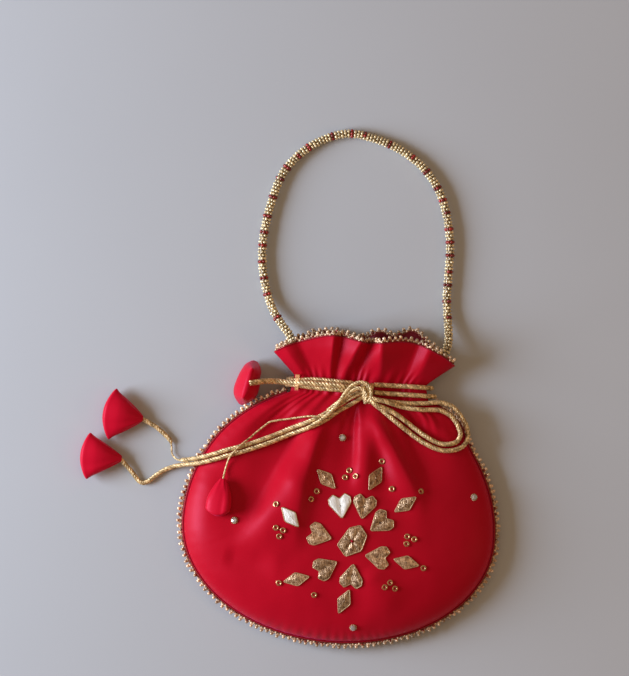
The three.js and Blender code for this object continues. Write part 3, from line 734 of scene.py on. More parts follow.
def ribbon_material(name, light, dark, metal):
    """Woven metallic ribbon: flat foil wefts over dark silk, seen as fine glinting ribs."""
    made, tree, shader, where = new_material(name)
    wefts = {"Vector": where, "Scale": rib_scale(RIBBON_RIB), "Distortion": 6.0, "Detail": 3.0}
    ribs = add_node(tree, "TexWave", wefts).outputs["Fac"]
    foil = {"Vector": where, "Scale": grain_scale(RIBBON_GRIT), "Detail": 5.0, "Roughness": 0.75}
    grit = add_node(tree, "TexNoise", foil).outputs["Fac"]
    weak = add_node(tree, "MapRange", {"Value": ribs, "To Min": 0.65, "To Max": 1.0}).outputs["Result"]
    glint = add_node(tree, "Math", {0: weak, 1: grit}, operation="MULTIPLY").outputs[0]
    share = add_node(tree, "MapRange", {"Value": glint, "From Min": 0.3, "From Max": 0.54})
    tone = add_node(tree, "Mix", {"Factor": share.outputs["Result"], "A": dark, "B": light}, data_type="RGBA")
    bump = add_node(tree, "Bump", {"Height": glint, "Strength": 0.8, "Distance": RIBBON_DEPTH * MM})
    feed(tree, shader, {
        "Base Color": tone.outputs["Result"],
        "Normal": bump.outputs["Normal"],
        "Metallic": metal,
        "Roughness": 0.34,
    })
    return made


def bead_material(name):
    """Foil-lined glass beads: each bead's own colour, with a small sharp glint."""
    made, tree, shader, where = new_material(name)
    grit = add_node(tree, "TexNoise", {"Vector": where, "Scale": grain_scale(BEAD_GRIT), "Detail": 2.0})
    rough = add_node(tree, "MapRange", {"Value": grit.outputs["Fac"], "To Min": 0.18, "To Max": 0.34})
    feed(tree, shader, {
        "Base Color": add_node(tree, "VertexColor", layer_name="tint").outputs["Color"],
        "Roughness": rough.outputs["Result"],
        "Metallic": 0.35,
        "Coat Weight": 0.5,
    })
    return made


def stone_material(name, colour):
    """Foil-backed cut glass: pale, hard and mirror-bright on its facets."""
    made, tree, shader, where = new_material(name)
    cells = add_node(tree, "TexVoronoi", {"Vector": where, "Scale": grain_scale(STONE_FACET)})
    share = add_node(tree, "MapRange", {"Value": cells.outputs["Distance"], "To Min": 0.55, "To Max": 1.0})
    shades = {"A": darker(colour, 0.35), "B": colour}
    tone = add_node(tree, "Mix", {"Factor": share.outputs["Result"], **shades}, data_type="RGBA")
    feed(tree, shader, {
        "Base Color": tone.outputs["Result"],
        "Metallic": 0.7,
        "Roughness": 0.08,
        "Coat Weight": 1.0,
    })
    return made


def paper_material(name, colour):
    """Uncoated paper: dead matt with a faint cloudy tone."""
    made, tree, shader, where = new_material(name)
    cloud = add_node(tree, "TexNoise", {"Vector": where, "Scale": grain_scale(PAPER_CLOUD), "Detail": 2.0})
    shades = {"A": darker(colour, 0.97), "B": darker(colour, 1.03)}
    tone = add_node(tree, "Mix", {"Factor": cloud.outputs["Fac"], **shades}, data_type="RGBA")
    feed(tree, shader, {"Base Color": tone.outputs["Result"], "Roughness": 0.9, "Specular IOR Level": 0.1})
    return made


def sizes():
    return bpy.context.scene.potli_sizes


def colour_of(name):
    return tuple(getattr(bpy.context.scene.potli_colours, name))


def kept_material(make, name, *values):
    """A material is made once and used again by its name."""
    return bpy.data.materials.get(name) or make(name, *values)


def satin():
    return kept_material(satin_material, "Red satin plain woven", colour_of("satin"))


def lining():
    # Partly the lining's own maroon, partly painted shade where the mouth's inside lies in shadow
    return kept_material(satin_material, "Maroon lining plain woven", colour_of("lining"))


def tassel_satin():
    return kept_material(satin_material, "Red satin stuffed", colour_of("tassel"))


def piping():
    return kept_material(satin_material, "Dark red satin piping", colour_of("piping"))


def gold_cord():
    shades = colour_of("gold_cord"), colour_of("painted_gold_shade")
    return kept_material(thread_material, "Gold metallic cord twisted", *shades, *CORD_FINISH)


def gold_edge():
    shades = srgb(EDGING_GOLD), colour_of("painted_gold_shade")
    return kept_material(thread_material, "Gold edging cord twisted", *shades, *EDGING_FINISH)


def lace_thread():
    shades = WHITE, LACE_PAINTED_SHADE
    return kept_material(thread_material, "Metallic picot lace crocheted", *shades, *LACE_FINISH)


def sequin_foil():
    shades = colour_of("sequin"), darker(colour_of("sequin"), SEQUIN_PAINTED_SHADE)
    return kept_material(thread_material, "Gold foil sequin stamped", *shades, *SEQUIN_FINISH)


def patch_ribbon(name):
    """The ribbon that a patch is folded from."""
    light, dark = colour_of("ribbon"), colour_of("ribbon_dark")
    finish, look = "Gold metallic ribbon woven", RIBBON_FINISH
    # Two patches take a near-white painted glare in place of the lamp's reflection on their foil
    if name in GLARE_PAINTED_PATCHES:
        light = dark = colour_of("painted_glare")
        finish, look = "Pale metallic ribbon woven", GLARE_PAINTED_FINISH
    elif name in LIGHT_PATCHES:
        finish, look = "Light gold metallic ribbon woven", LIGHT_RIBBON_FINISH
    foil, silk, metal = look
    return kept_material(ribbon_material, finish, darker(light, foil), darker(dark, silk), metal)


def finished(obj, slot, *nodes):
    """The piece rides on the bag and stands for its solids; its finish, slot, is not used."""
    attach(obj, "root")
    if nodes:
        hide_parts(*nodes)
    return obj


# Cloth


class POTLI_OT_cloth(bpy.types.Operator):
    """Makes the front and back of the pouch with their frills, the seam's piping and the mouth's hem"""

    bl_idname = "potli.cloth"
    bl_label = "Cloth"

    FRONT_COLUMNS = 240
    FRONT_ROWS = (128, 10, 40)
    BACK_COLUMNS = 150
    BACK_ROWS = (80, 8, 26)
    CLOTH_CUT = (0.30, 0.225)
    CLOTH_AREA = 0.044
    PIPING_OUT = 0.4
    PIPING_LIFT = 0.9
    PIPING_RADIUS = 0.6
    HEM_REACH = 0.97
    HEM_ROW = 2.985
    HEM_POINTS = 260
    HEM_LIFT = 0.1
    HEM_RADIUS = 0.45

    def panel(self, name, columns, rows, points_of, upward):
        """One cut of satin, lined by its thickness."""
        places = row_places(*rows)
        across, along = np.meshgrid(np.linspace(-1, 1, columns + 1), places)
        made = Builder()
        faces = grid_faces(len(places), columns + 1)
        made.add(points_of(across, along), faces if upward else faces[:, ::-1])
        cloth = made.build(name, [satin(), lining()])
        shell = cloth.modifiers.new("Cloth thickness", "SOLIDIFY")
        shell.material_offset = 1
        shell.thickness = sizes().cloth
        shell.offset = -1
        return cloth

    def execute(self, context):
        front = self.panel("satin_front", self.FRONT_COLUMNS, self.FRONT_ROWS, front_points, True)
        back = self.panel("satin_back", self.BACK_COLUMNS, self.BACK_ROWS, back_points, False)
        TREES["front"] = tree_of(front)
        TREES["solid"] = tree_of(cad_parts["front_panel"])
        finished(front, "satin", "front_panel")
        finished(back, "satin", "back_panel")
        self.seam_piping()
        self.mouth_hem()
        return {"FINISHED"}

    def seam_piping(self):
        """A thin corded edge sewn into the seam."""
        made = Builder()
        made.tube(seam_line(self.PIPING_OUT) + np.array([0, 0, self.PIPING_LIFT]), self.PIPING_RADIUS, 8)
        finished(made.build("seam_piping", [piping()]), "satin")

    def mouth_hem(self):
        """The rolled hem along the front edge of the frill."""
        across = np.linspace(-self.HEM_REACH, self.HEM_REACH, self.HEM_POINTS)[None]
        spots = front_points(across, np.full_like(across, self.HEM_ROW))[0]
        made = Builder()
        made.tube(spots + np.array([0, 0, self.HEM_LIFT]), self.HEM_RADIUS, 6)
        finished(made.build("mouth_hem", [piping()]), "satin")


SEAM_END = 0.02
SEAM_POINTS = 700


def seam_line(outward):
    """Line round the pouch at the seam, a distance outside the cloth's edge."""
    end = NECK_ANGLE - SEAM_END
    angle = np.linspace(np.pi - end, 2 * np.pi + end, SEAM_POINTS)
    edge_x, edge_y = leaned(*pouch_edge(angle))
    run = np.stack([np.gradient(edge_x), np.gradient(edge_y)], axis=1)
    run /= np.linalg.norm(run, axis=1)[:, None]
    folded = np.arcsin(np.sin(angle))
    along = np.clip((folded - CORNER_ANGLE) / (NECK_ANGLE - CORNER_ANGLE), 0, 1)
    outer_x = edge_x + outward * run[:, 1]
    outer_y = edge_y - outward * run[:, 0]
    return np.stack([outer_x, outer_y, seam_height(along)], axis=1)


# Lace


class POTLI_OT_lace(bpy.types.Operator):
    """Makes the picot lace round the seam and along both edges of the mouth"""

    bl_idname = "potli.lace"
    bl_label = "Lace"

    SEAM_OUT = 1.1
    SEAM_SEED = 3
    SEAM_TILT = 0.05
    # Edge of the mouth, its cloth, share of its width, lift off its edge, seed and tilt
    MOUTH_STRIPS = [("front", front_points, 0.97, -0.5, 5, 0.35), ("back", back_points, 0.9, 0.5, 8, 0.2)]
    MOUTH_ROW = 3.0
    MOUTH_POINTS = 300
    BRAID_STEP = 1.0
    BRAID_RADIUS = 0.7
    BRAID_SWING = 0.3
    BRAID_TURN = 2.2
    ROOT = 0.7
    THREAD_STEP = 0.9
    THREAD_RADIUS = 0.45
    # Half sizes of a bead along the strip, out of it and through it
    TIP_BEAD = (1.15, 1.1, 1.05)
    INNER_BEAD = (1.1, 1.0, 0.7)
    ROOT_BEAD = (0.8, 0.8, 0.8)
    INNER_AT = 0.42
    # What is drawn for each tooth: its reach, how far it strays, its shine, and how often a bead is gold
    TOOTH_REACH = (0.62, 1.0)
    STRAY_ALONG = 0.5
    STRAY_UP = 0.4
    # A tooth's shine is partly the lace's own uneven tone and partly painted glints and shade
    SHINE = (0.5, 1.3)
    GOLD_INNER = 0.65
    DARK_INNER_SHINE = (0.9, 1.8)
    GOLD_ROOT = 0.6
    ROOT_SHINE = (0.8, 1.2)
    THREAD_SHINE = 0.8
    # Painted light: the lace is brighter at the left, where the window lamp falls on it, and darker along the
    # bottom; and the places where each fades
    LEFT_PAINTED_LIGHT = 1.25
    LEFT_FADES = (-70, -20)
    BOTTOM_DARKENING = 0.75
    BOTTOM_FADES = (-55, -25)

    def braid(self, made, line, dark):
        """The dark braid that the teeth stand on, rising and dipping with its plait."""
        path = resampled(line, self.BRAID_STEP)
        path[:, 2] += self.BRAID_SWING * np.sin(np.arange(len(path)) * self.BRAID_TURN)
        made.tube(path, self.BRAID_RADIUS, 6, tint=dark)

    def strip(self, name, line, node, seed, tilt):
        """A dark braid with a zigzag of gold cord on its outer side and a bead at each turn."""
        rng = random.Random(seed)
        pitch = sizes().lace_pitch / MM
        height = sizes().lace_height / MM
        dark = colour_of("lace_red")
        gold = colour_of("lace")
        made = Builder()
        self.braid(made, line, dark)
        spots = resampled(line, pitch / 2)
        run = np.gradient(spots, axis=0)
        run /= np.linalg.norm(run, axis=1)[:, None]
        turns = []
        for i, (spot, ahead) in enumerate(zip(spots, run)):
            out = np.cross(ahead, (0, 0, 1.0))
            out /= np.linalg.norm(out)
            out = out * math.cos(tilt) + np.array([0, 0, math.sin(tilt)])
            lift = np.cross(ahead, out)
            ways = np.array([ahead, out, lift])
            tip = i % 2 == 1
            reach = height * rng.uniform(*self.TOOTH_REACH) if tip else self.ROOT
            stray = ahead * rng.uniform(-self.STRAY_ALONG, self.STRAY_ALONG)
            stray = stray + lift * rng.uniform(-self.STRAY_UP, self.STRAY_UP)
            turns.append(spot + out * reach + stray)
            # shade holds the painted light at the left and the darkening along the bottom, times the tooth's
            # random shine
            shade = darker(gold, self.painted_left_light_darker_bottom(spot) * rng.uniform(*self.SHINE))
            if tip:
                self.bead(made, turns[-1], ways, self.TIP_BEAD, shade)
                golden = rng.random() < self.GOLD_INNER
                inner = shade if golden else darker(dark, rng.uniform(*self.DARK_INNER_SHINE))
                self.bead(made, spot + out * height * self.INNER_AT, ways, self.INNER_BEAD, inner)
            else:
                root = gold if rng.random() < self.GOLD_ROOT else dark
                root = darker(root, rng.uniform(*self.ROOT_SHINE))
                made.ball(turns[-1], ways * np.array(self.ROOT_BEAD)[:, None], 4, 6, tint=root)
        thread = spline(turns, self.THREAD_STEP)
        made.tube(thread, self.THREAD_RADIUS, 6, tint=darker(gold, self.THREAD_SHINE))
        return finished(made.build(name, [lace_thread()], tinted=True), "gold_lace", node)

    def painted_left_light_darker_bottom(self, spot):
        """The lace is painted brighter at the left as light of the window lamp, and is darker along the
        bottom.
        """
        across = mix(self.LEFT_PAINTED_LIGHT, 1.0, smooth(spot[0], *self.LEFT_FADES))
        return across * mix(self.BOTTOM_DARKENING, 1.0, smooth(spot[1], *self.BOTTOM_FADES))

    def bead(self, made, spot, ways, half_sizes, tint):
        made.ball(spot, ways * np.array(half_sizes)[:, None], 5, 7, tint=tint)

    def execute(self, context):
        self.strip("lace_seam", seam_line(self.SEAM_OUT), "seam_lace", self.SEAM_SEED, self.SEAM_TILT)
        for edge, points_of, reach, lift, seed, tilt in self.MOUTH_STRIPS:
            across = np.linspace(reach, -reach, self.MOUTH_POINTS)[None]
            line = points_of(across, np.full_like(across, self.MOUTH_ROW))[0] + np.array([0, 0, lift])
            self.strip(f"lace_mouth_{edge}", line, f"mouth_lace_{edge}", seed, tilt)
        return {"FINISHED"}


# Handle

# Height of the handle's middle where its right and left ends are sewn in, and on the paper
HANDLE_RIGHT_Z = 11.1
HANDLE_LEFT_Z = 9.9
HANDLE_REST = 3.2
HANDLE_ROUTE = [
    (-37.5, 114.5, HANDLE_LEFT_Z), (-41.2, 119.6, HANDLE_LEFT_Z), (-46.6, 126, 8.2), (-52.4, 133.4, 5.6),
    (-56.9, 142, 3.6), (-61.6, 156.7, HANDLE_REST), (-64, 172, HANDLE_REST), (-63.6, 188, HANDLE_REST),
    (-60.6, 206.5, HANDLE_REST), (-54.6, 225.5, HANDLE_REST), (-44.6, 239, HANDLE_REST),
    (-30.4, 249.6, HANDLE_REST), (-13.2, 255, HANDLE_REST), (4, 252.8, HANDLE_REST), (22, 246.4, HANDLE_REST),
    (37, 236.3, HANDLE_REST), (48.4, 222, HANDLE_REST), (55, 205, HANDLE_REST), (58.4, 187, HANDLE_REST),
    (58.8, 168, HANDLE_REST), (59, 151, HANDLE_REST), (60.4, 140, 3.6), (61.6, 131, 5.9), (62, 123.6, 9.2),
    (60.8, 117.4, HANDLE_RIGHT_Z), (58.2, 111.6, HANDLE_RIGHT_Z),
]


class POTLI_OT_handle(bpy.types.Operator):
    """Makes the handle: a rope core with rings of seed beads"""

    bl_idname = "potli.handle"
    bl_label = "Handle"

    SEED = 11
    RING_BEADS = 6
    RING_PITCH = 0.98
    RED_GAPS = (4, 5, 5, 6, 8)
    RED_BEAD_WIDTH = 1.12
    PLAIN_ENDS = 20.0
    CORE_STEP = 3.0
    CORE_PAINTED_SHADE = 0.4
    BEAD_LENGTH = 0.9
    # What is drawn for each ring and bead: glow of a red ring, share of its beads that are red, how far
    # a bead strays round the ring, its shine and its width
    RED_GLOW = (0.5, 1.15)
    RED_SHARE = 0.9
    STRAY = 0.12
    # A bead's shine is partly its own uneven tone and partly painted highlight and shade
    SHINE = (0.65, 1.3)
    WIDTHS = (0.88, 1.02)

    def execute(self, context):
        rng = random.Random(self.SEED)
        bead = sizes().bead / MM / 2
        pitch = 2 * bead * self.RING_PITCH
        reach = sizes().handle / MM / 2 - bead
        path = spline(HANDLE_ROUTE, pitch)
        across, upward = frames_along(path)
        run = np.cross(across, upward)
        gold = colour_of("bead")
        red = colour_of("bead_red")
        made = Builder()
        # The rope core is darkened to paint the shade in the gaps between the beads
        core = darker(colour_of("painted_gold_shade"), self.CORE_PAINTED_SHADE)
        made.tube(resampled(path, self.CORE_STEP), reach, 10, tint=core)
        total = length_of(path)
        reds = set(np.cumsum(rng.choices(self.RED_GAPS, k=len(path))).tolist())
        for i, spot in enumerate(path):
            at_end = min(i * pitch, total - i * pitch) < self.PLAIN_ENDS
            accent = i in reds and not at_end
            glow = rng.uniform(*self.RED_GLOW)
            for k in range(self.RING_BEADS):
                place = k + 0.5 * (i % 2) + rng.uniform(-self.STRAY, self.STRAY)
                turn = 2 * math.pi * place / self.RING_BEADS
                out = across[i] * math.cos(turn) + upward[i] * math.sin(turn)
                side = np.cross(run[i], out)
                tint = darker(red, glow) if accent and rng.random() < self.RED_SHARE else gold
                tint = darker(tint, rng.uniform(*self.SHINE))
                wide = bead * (self.RED_BEAD_WIDTH if accent else rng.uniform(*self.WIDTHS))
                axes = (side * wide, out * wide, run[i] * wide * self.BEAD_LENGTH)
                made.ball(spot + out * reach, axes, 5, 7, tint=tint)
        glass = kept_material(bead_material, "Glass seed beads foil lined")
        handle = finished(made.build("beaded_handle", [glass], tinted=True), "beads", "handle")
        return {"FINISHED"}


# Drawstring: routes in millimetres with the exit first. The turns round the neck and the bow repeat the
# solid cords, and the tails are laid again over the fine cloth

CORD_ROUTES = {
    "neck_cord_upper": [
        (15.8, 92.4, 18.3), (24, 92.6, 18.1), (32, 92.8, 18.1), (40, 93, 17.2), (46, 93, 16.1),
        (51, 93, 13.8), (53.4, 93, 10.6), (52, 92.8, 7.4), (47, 92.6, 4.8), (38, 92.4, 3),
        (24, 92.3, 2.5), (5, 92.3, 2.4), (-14, 92.3, 2.5), (-26, 92.4, 3.2), (-34, 92.3, 4.9),
        (-39, 91.9, 7.4), (-40.5, 91.5, 10.4), (-38.6, 91.3, 13.6), (-33.4, 91.6, 16), (-27, 92.4, 17.2),
        (-19, 92.8, 17.9), (-9, 92.6, 18.1), (-2, 92.4, 18.6), (2, 92.4, 18.6),
    ],
    "neck_cord_lower": [
        (16.3, 87.4, 18.3), (24, 87.3, 18.1), (32, 87.4, 18.2), (40, 87.5, 17.4), (46.5, 87.6, 16.2),
        (52.8, 87.6, 14), (55.9, 87.6, 10.6), (53.6, 87.5, 7), (48, 87.3, 4.8), (38, 87.2, 3),
        (24, 87.2, 2.5), (5, 87.2, 2.4), (-14, 87.2, 2.5), (-26, 87.2, 3.2), (-34.4, 87.2, 4.9),
        (-39.6, 87.6, 7.2), (-41.2, 88, 10.4), (-39.2, 88.3, 13.9), (-34.4, 88.1, 16.4), (-27, 87.6, 17.4),
        (-19, 87.3, 18), (-9, 87.3, 18.2), (-3, 87.3, 18.6), (1.6, 87.3, 18.6),
    ],
    "bow_loop_outer": [
        (9.5, 85.4, 20), (15.8, 83.3, 19.4), (27, 82.2, 18.6), (39, 82, 17.6), (51, 83, 15.6),
        (60, 84.2, 14.2), (68, 82, 13.2), (74.6, 75.4, 12.4), (78.6, 68.6, 12.4), (79.4, 62.2, 13),
        (76.4, 56.6, 15.4), (69.6, 53.6, 18.6), (61.4, 53.4, 21.2), (50, 57.6, 22), (39, 64.3, 21.5),
        (29.4, 71, 19.8), (21.6, 76.6, 19.1), (17, 79.6, 19.3), (11.5, 84, 20),
    ],
    "bow_loop_inner": [
        (9.5, 86, 22.6), (15.8, 83.4, 23.4), (24, 82, 22.7), (36, 79.2, 20.2), (49, 78.6, 17.8),
        (60, 79, 15.8), (67.6, 75.6, 15), (72.2, 70, 14.6), (74.4, 64.4, 14.6), (72.6, 59.8, 16),
        (67.4, 57.6, 18.4), (61, 57.6, 20), (51.6, 61.6, 21), (41, 68.2, 21.2), (31.4, 74.4, 20.6),
        (24, 77.6, 22.2), (18, 79.4, 23.2), (12, 84.4, 22.4),
    ],
    "tail_a": [
        (8.5, 87.6, 20.4), (1.5, 83.8, 20.5), (-6, 78.2, 20.8), (-14, 71.6, 21.3),
        (-24.5, 65.4, 22.4), (-35, 60.4, 22.5), (-45.5, 55, 22.2), (-55.5, 50.5, 21.9),
        (-65.5, 46.4, 21.6), (-71.5, 44.2, 20.5), (-77, 42.4, 18.9), (-84, 39.5, 16.3),
        (-91, 37, 13.2), (-98, 34.9, 10), (-104, 33.6, 6.8), (-109.2, 33.4, 3.4),
        (-112.6, 36.6, 1.9), (-113.3, 41.2, 1.8), (-114.6, 45.4, 1.9), (-118.2, 48.8, 2.2),
        (-125, 53.8, 3.3), (-134.6, 58.3, 4.8),
    ],
    "tail_b": [
        (10, 85, 20), (3, 79.6, 20.2), (-6, 73.6, 21.4), (-14.5, 66.8, 21.9),
        (-25.5, 60.8, 23.1), (-35, 56.4, 23.1), (-45.5, 51.1, 23.2), (-55.5, 46.6, 22.6),
        (-65, 42.8, 22.2), (-75, 39.2, 20.2), (-84, 35.8, 17.3), (-91, 33.4, 13.8),
        (-97.5, 31.6, 10.6), (-104, 30.4, 5.9), (-110, 28.8, 2.7), (-117, 25.6, 1.9),
        (-122.2, 21.6, 1.9), (-126.4, 17.8, 1.9), (-129.8, 16.2, 1.9), (-132.8, 17.2, 1.9),
        (-135.8, 20.4, 2.2), (-139.2, 24.2, 3.1), (-146.2, 30.9, 4.8),
    ],
    "tail_c": [
        (5, 89.4, 20.6), (-6, 89.8, 20.6), (-16, 90, 20.4), (-24, 90, 20),
        (-31, 89.9, 18.7), (-37, 89.6, 16.4), (-42.4, 89.4, 14.4), (-47.5, 89.6, 13.8),
        (-52, 89.4, 15.2), (-57, 88.8, 17.8), (-62.2, 87.8, 20.6), (-65.4, 87.2, 22.1),
    ],
    "tail_d": [
        (9, 86.6, 22.4), (2, 82.6, 23.2), (-6, 76.6, 23.5), (-14, 70.6, 23.8),
        (-19.4, 68.9, 23.8), (-24, 68.8, 22.4), (-31, 67.4, 21), (-38, 65.8, 20.6),
        (-46, 64.1, 19.9), (-50.5, 62.6, 19.6), (-54, 59.6, 19.7), (-58.5, 55.4, 20.2),
        (-62, 51.8, 21.4), (-65.6, 48.6, 23), (-69, 45.2, 23.6), (-72.2, 41.4, 23.5),
        (-74.6, 37.8, 22.5), (-75.8, 34, 20.9), (-76.8, 29, 20.9), (-77.4, 25.4, 22),
        (-77.6, 22.6, 23),
    ],
}
# One tail is pressed wider and another is down to a single thread, as shares of the cord's diameter
CORD_WIDTHS = {"tail_c": 1.25, "tail_d": 0.44}
KNOT_AT = np.array([8.9, 86.9, 20.95])

# Strands of a cord: the length of one turn, a strand's distance from the cord's middle and its radius,
# all as shares of the cord's diameter, and how bright each strand is
STRANDS = 4
STRAND_PITCH = 2.3
STRAND_OUT = 0.26
STRAND_RADIUS = 0.23
STRAND_TONES = np.linspace(0.76, 1.32, STRANDS)


def twisted(made, path, diameter, share=1.0):
    """A cord of strands laid round one another; share thins it, point by point."""
    across, upward = frames_along(path)
    run = run_along(path)
    width = diameter * np.broadcast_to(np.asarray(share, float), (len(path),))
    for k, tone in enumerate(STRAND_TONES):
        turn = 2 * np.pi * (run / (STRAND_PITCH * diameter) + k / STRANDS)
        out = across * np.cos(turn)[:, None] + upward * np.sin(turn)[:, None]
        strand = path + out * (width * STRAND_OUT)[:, None]
        made.tube(strand, width * STRAND_RADIUS, 7, tint=(tone, tone, tone, 1))


# What tail_a loses in its last bend, between these places to the left and up to these heights of the plan
LOOSE_LOSS = 0.62
LOOSE_LEFT = (104, 109)
LOOSE_UP_TO = (42, 46)


def thinned(name, path):
    """Where only a loose thread of the braid is left of a tail, as a share of its diameter."""
    if name != "tail_a":
        return 1.0
    x, y = path[:, 0], path[:, 1]
    return 1 - LOOSE_LOSS * smooth(-x, *LOOSE_LEFT) * (1 - smooth(y, *LOOSE_UP_TO))


class POTLI_OT_drawstring(bpy.types.Operator):
    """Makes the gold drawstring: two turns round the neck, the bow, its knot and the four ends"""

    bl_idname = "potli.drawstring"
    bl_label = "Drawstring"

    STEP = 0.8
    # The bow's folded end, from the knot's middle
    ARCH = [
        (-34.4, -26.1, 2.2), (-24, -18.4, 3.2), (-16, -9.2, 3.4), (-10.4, 0.4, 3.6), (-5.6, 5.2, 3.9),
        (-0.6, 6.4, 4.2), (3.4, 4.6, 4.4), (5.2, 0.2, 4.2), (4.4, -4.4, 2.6), (1.4, -6.6, 0.2),
    ]
    INNER_ARCH = [
        (-22, -13.6, 1.8), (-14, -6.2, 2.8), (-8, -0.2, 3.4), (-3.6, 2.4, 3.9), (0.2, 1.8, 4.4),
        (2.2, -1.4, 4.2), (1.8, -5.4, 1.4),
    ]
    ARCH_WIDTH = 0.9
    # Each upright turn's place, half height, lift and slant in degrees
    WRAPS = [(0.6, 5.2, 0.0, 12), (2.8, 5.5, 0.3, 4), (4.8, 5.8, 0.0, -4)]
    WRAP_SWAY = 0.4
    WRAP_RISE = 3.4
    WRAP_FLOOR = -3.0
    WRAP_WIDTH = 0.82
    WRAP_START = 0.12
    WRAP_POINTS = 48
    BINDING_AT = (-35.6, 90.0)
    BINDING_TURNS = 4
    BINDING_POINTS = 120
    BINDING_PITCH = 0.55
    BINDING_HALF = (5.0, 2.9)
    BINDING_RADIUS = 0.32
    BINDING_OVER = (-34.0, 90.0)
    PALE_THREAD = (1.7, 1.35, 1.3, 1.0)

    def knot(self, diameter):
        """The bow's folded end arched over the neck, bound by upright turns of cord."""
        made = Builder()
        plan = KNOT_AT[:2]
        centre = KNOT_AT + np.array([0, 0, cloth_top(*plan)[0] - cloth_top(*plan, "solid")[0]])
        turn = np.linspace(self.WRAP_START, 2 * np.pi + self.WRAP_START, self.WRAP_POINTS)
        for shift, half, lift, slant in self.WRAPS:
            x = shift + self.WRAP_SWAY * np.sin(2 * turn)
            y = half * np.cos(turn)
            z = np.maximum(self.WRAP_RISE * np.sin(turn), self.WRAP_FLOOR) + lift
            spin = np.array(Matrix.Rotation(math.radians(slant), 3, "Z"))
            twisted(made, centre + np.stack([x, y, z], axis=1) @ spin.T, diameter * self.WRAP_WIDTH)
        for route in (self.ARCH, self.INNER_ARCH):
            twisted(made, centre + spline(route, self.STEP), diameter * self.ARCH_WIDTH)
        self.binding(made)
        return finished(made.build("bow_knot_wound", [gold_cord()], tinted=True), "gold_cord", "bow_knot")

    def binding(self, made):
        """Pale thread wound round the strands where they leave the neck."""
        turn = np.linspace(0, 2 * np.pi * self.BINDING_TURNS, self.BINDING_POINTS)
        half_y, half_z = self.BINDING_HALF
        x = self.BINDING_AT[0] + self.BINDING_PITCH * turn / (2 * np.pi)
        y = self.BINDING_AT[1] + half_y * np.cos(turn)
        z = cloth_top(*self.BINDING_OVER)[0] + half_z + half_z * np.sin(turn)
        made.tube(np.stack([x, y, z], axis=1), self.BINDING_RADIUS, 6, tint=self.PALE_THREAD)

    def execute(self, context):
        diameter = sizes().cord / MM
        knot = self.knot(diameter)
        for name, route in CORD_ROUTES.items():
            path = settled(spline(route, self.STEP))
            width = diameter * CORD_WIDTHS.get(name, 1)
            made = Builder()
            twisted(made, path, width, share=thinned(name, path))
            cord = finished(made.build(f"{name}_twisted", [gold_cord()], tinted=True), "gold_cord", name)
        return {"FINISHED"}


# Tassels

# Tip, then turn, dip and roll in degrees, then length, width and thickness, then how far the tip is
# drawn out sideways, how deep its gathers are, how far its base bulges, and how round it is
TASSELS = {
    "tassel_a": ((-133.4, 58.2, 4.8), (175.5, -5, 0), (21.5, 35.5, 12), 0.0, 0.05, 3.6, 0.0),
    "tassel_b": ((-145.2, 31, 4.8), (179.5, -5, 0), (23.5, 32, 12), 0.0, 0.05, 2.2, 0.0),
    "tassel_c": ((-66.5, 87, 22.6), (-13.3, 90, 0), (21, 31, 16), 8.5, 0.0, 0.0, 0.0),
    "tassel_d": ((-77.6, 23.6, 23.3), (-96, -8, 15.5), (21.5, 19.5, 9), 0.2, 0.05, 1.6, 0.4),
}
TASSEL_D_LIES_AT = (-78.0, 12.0)


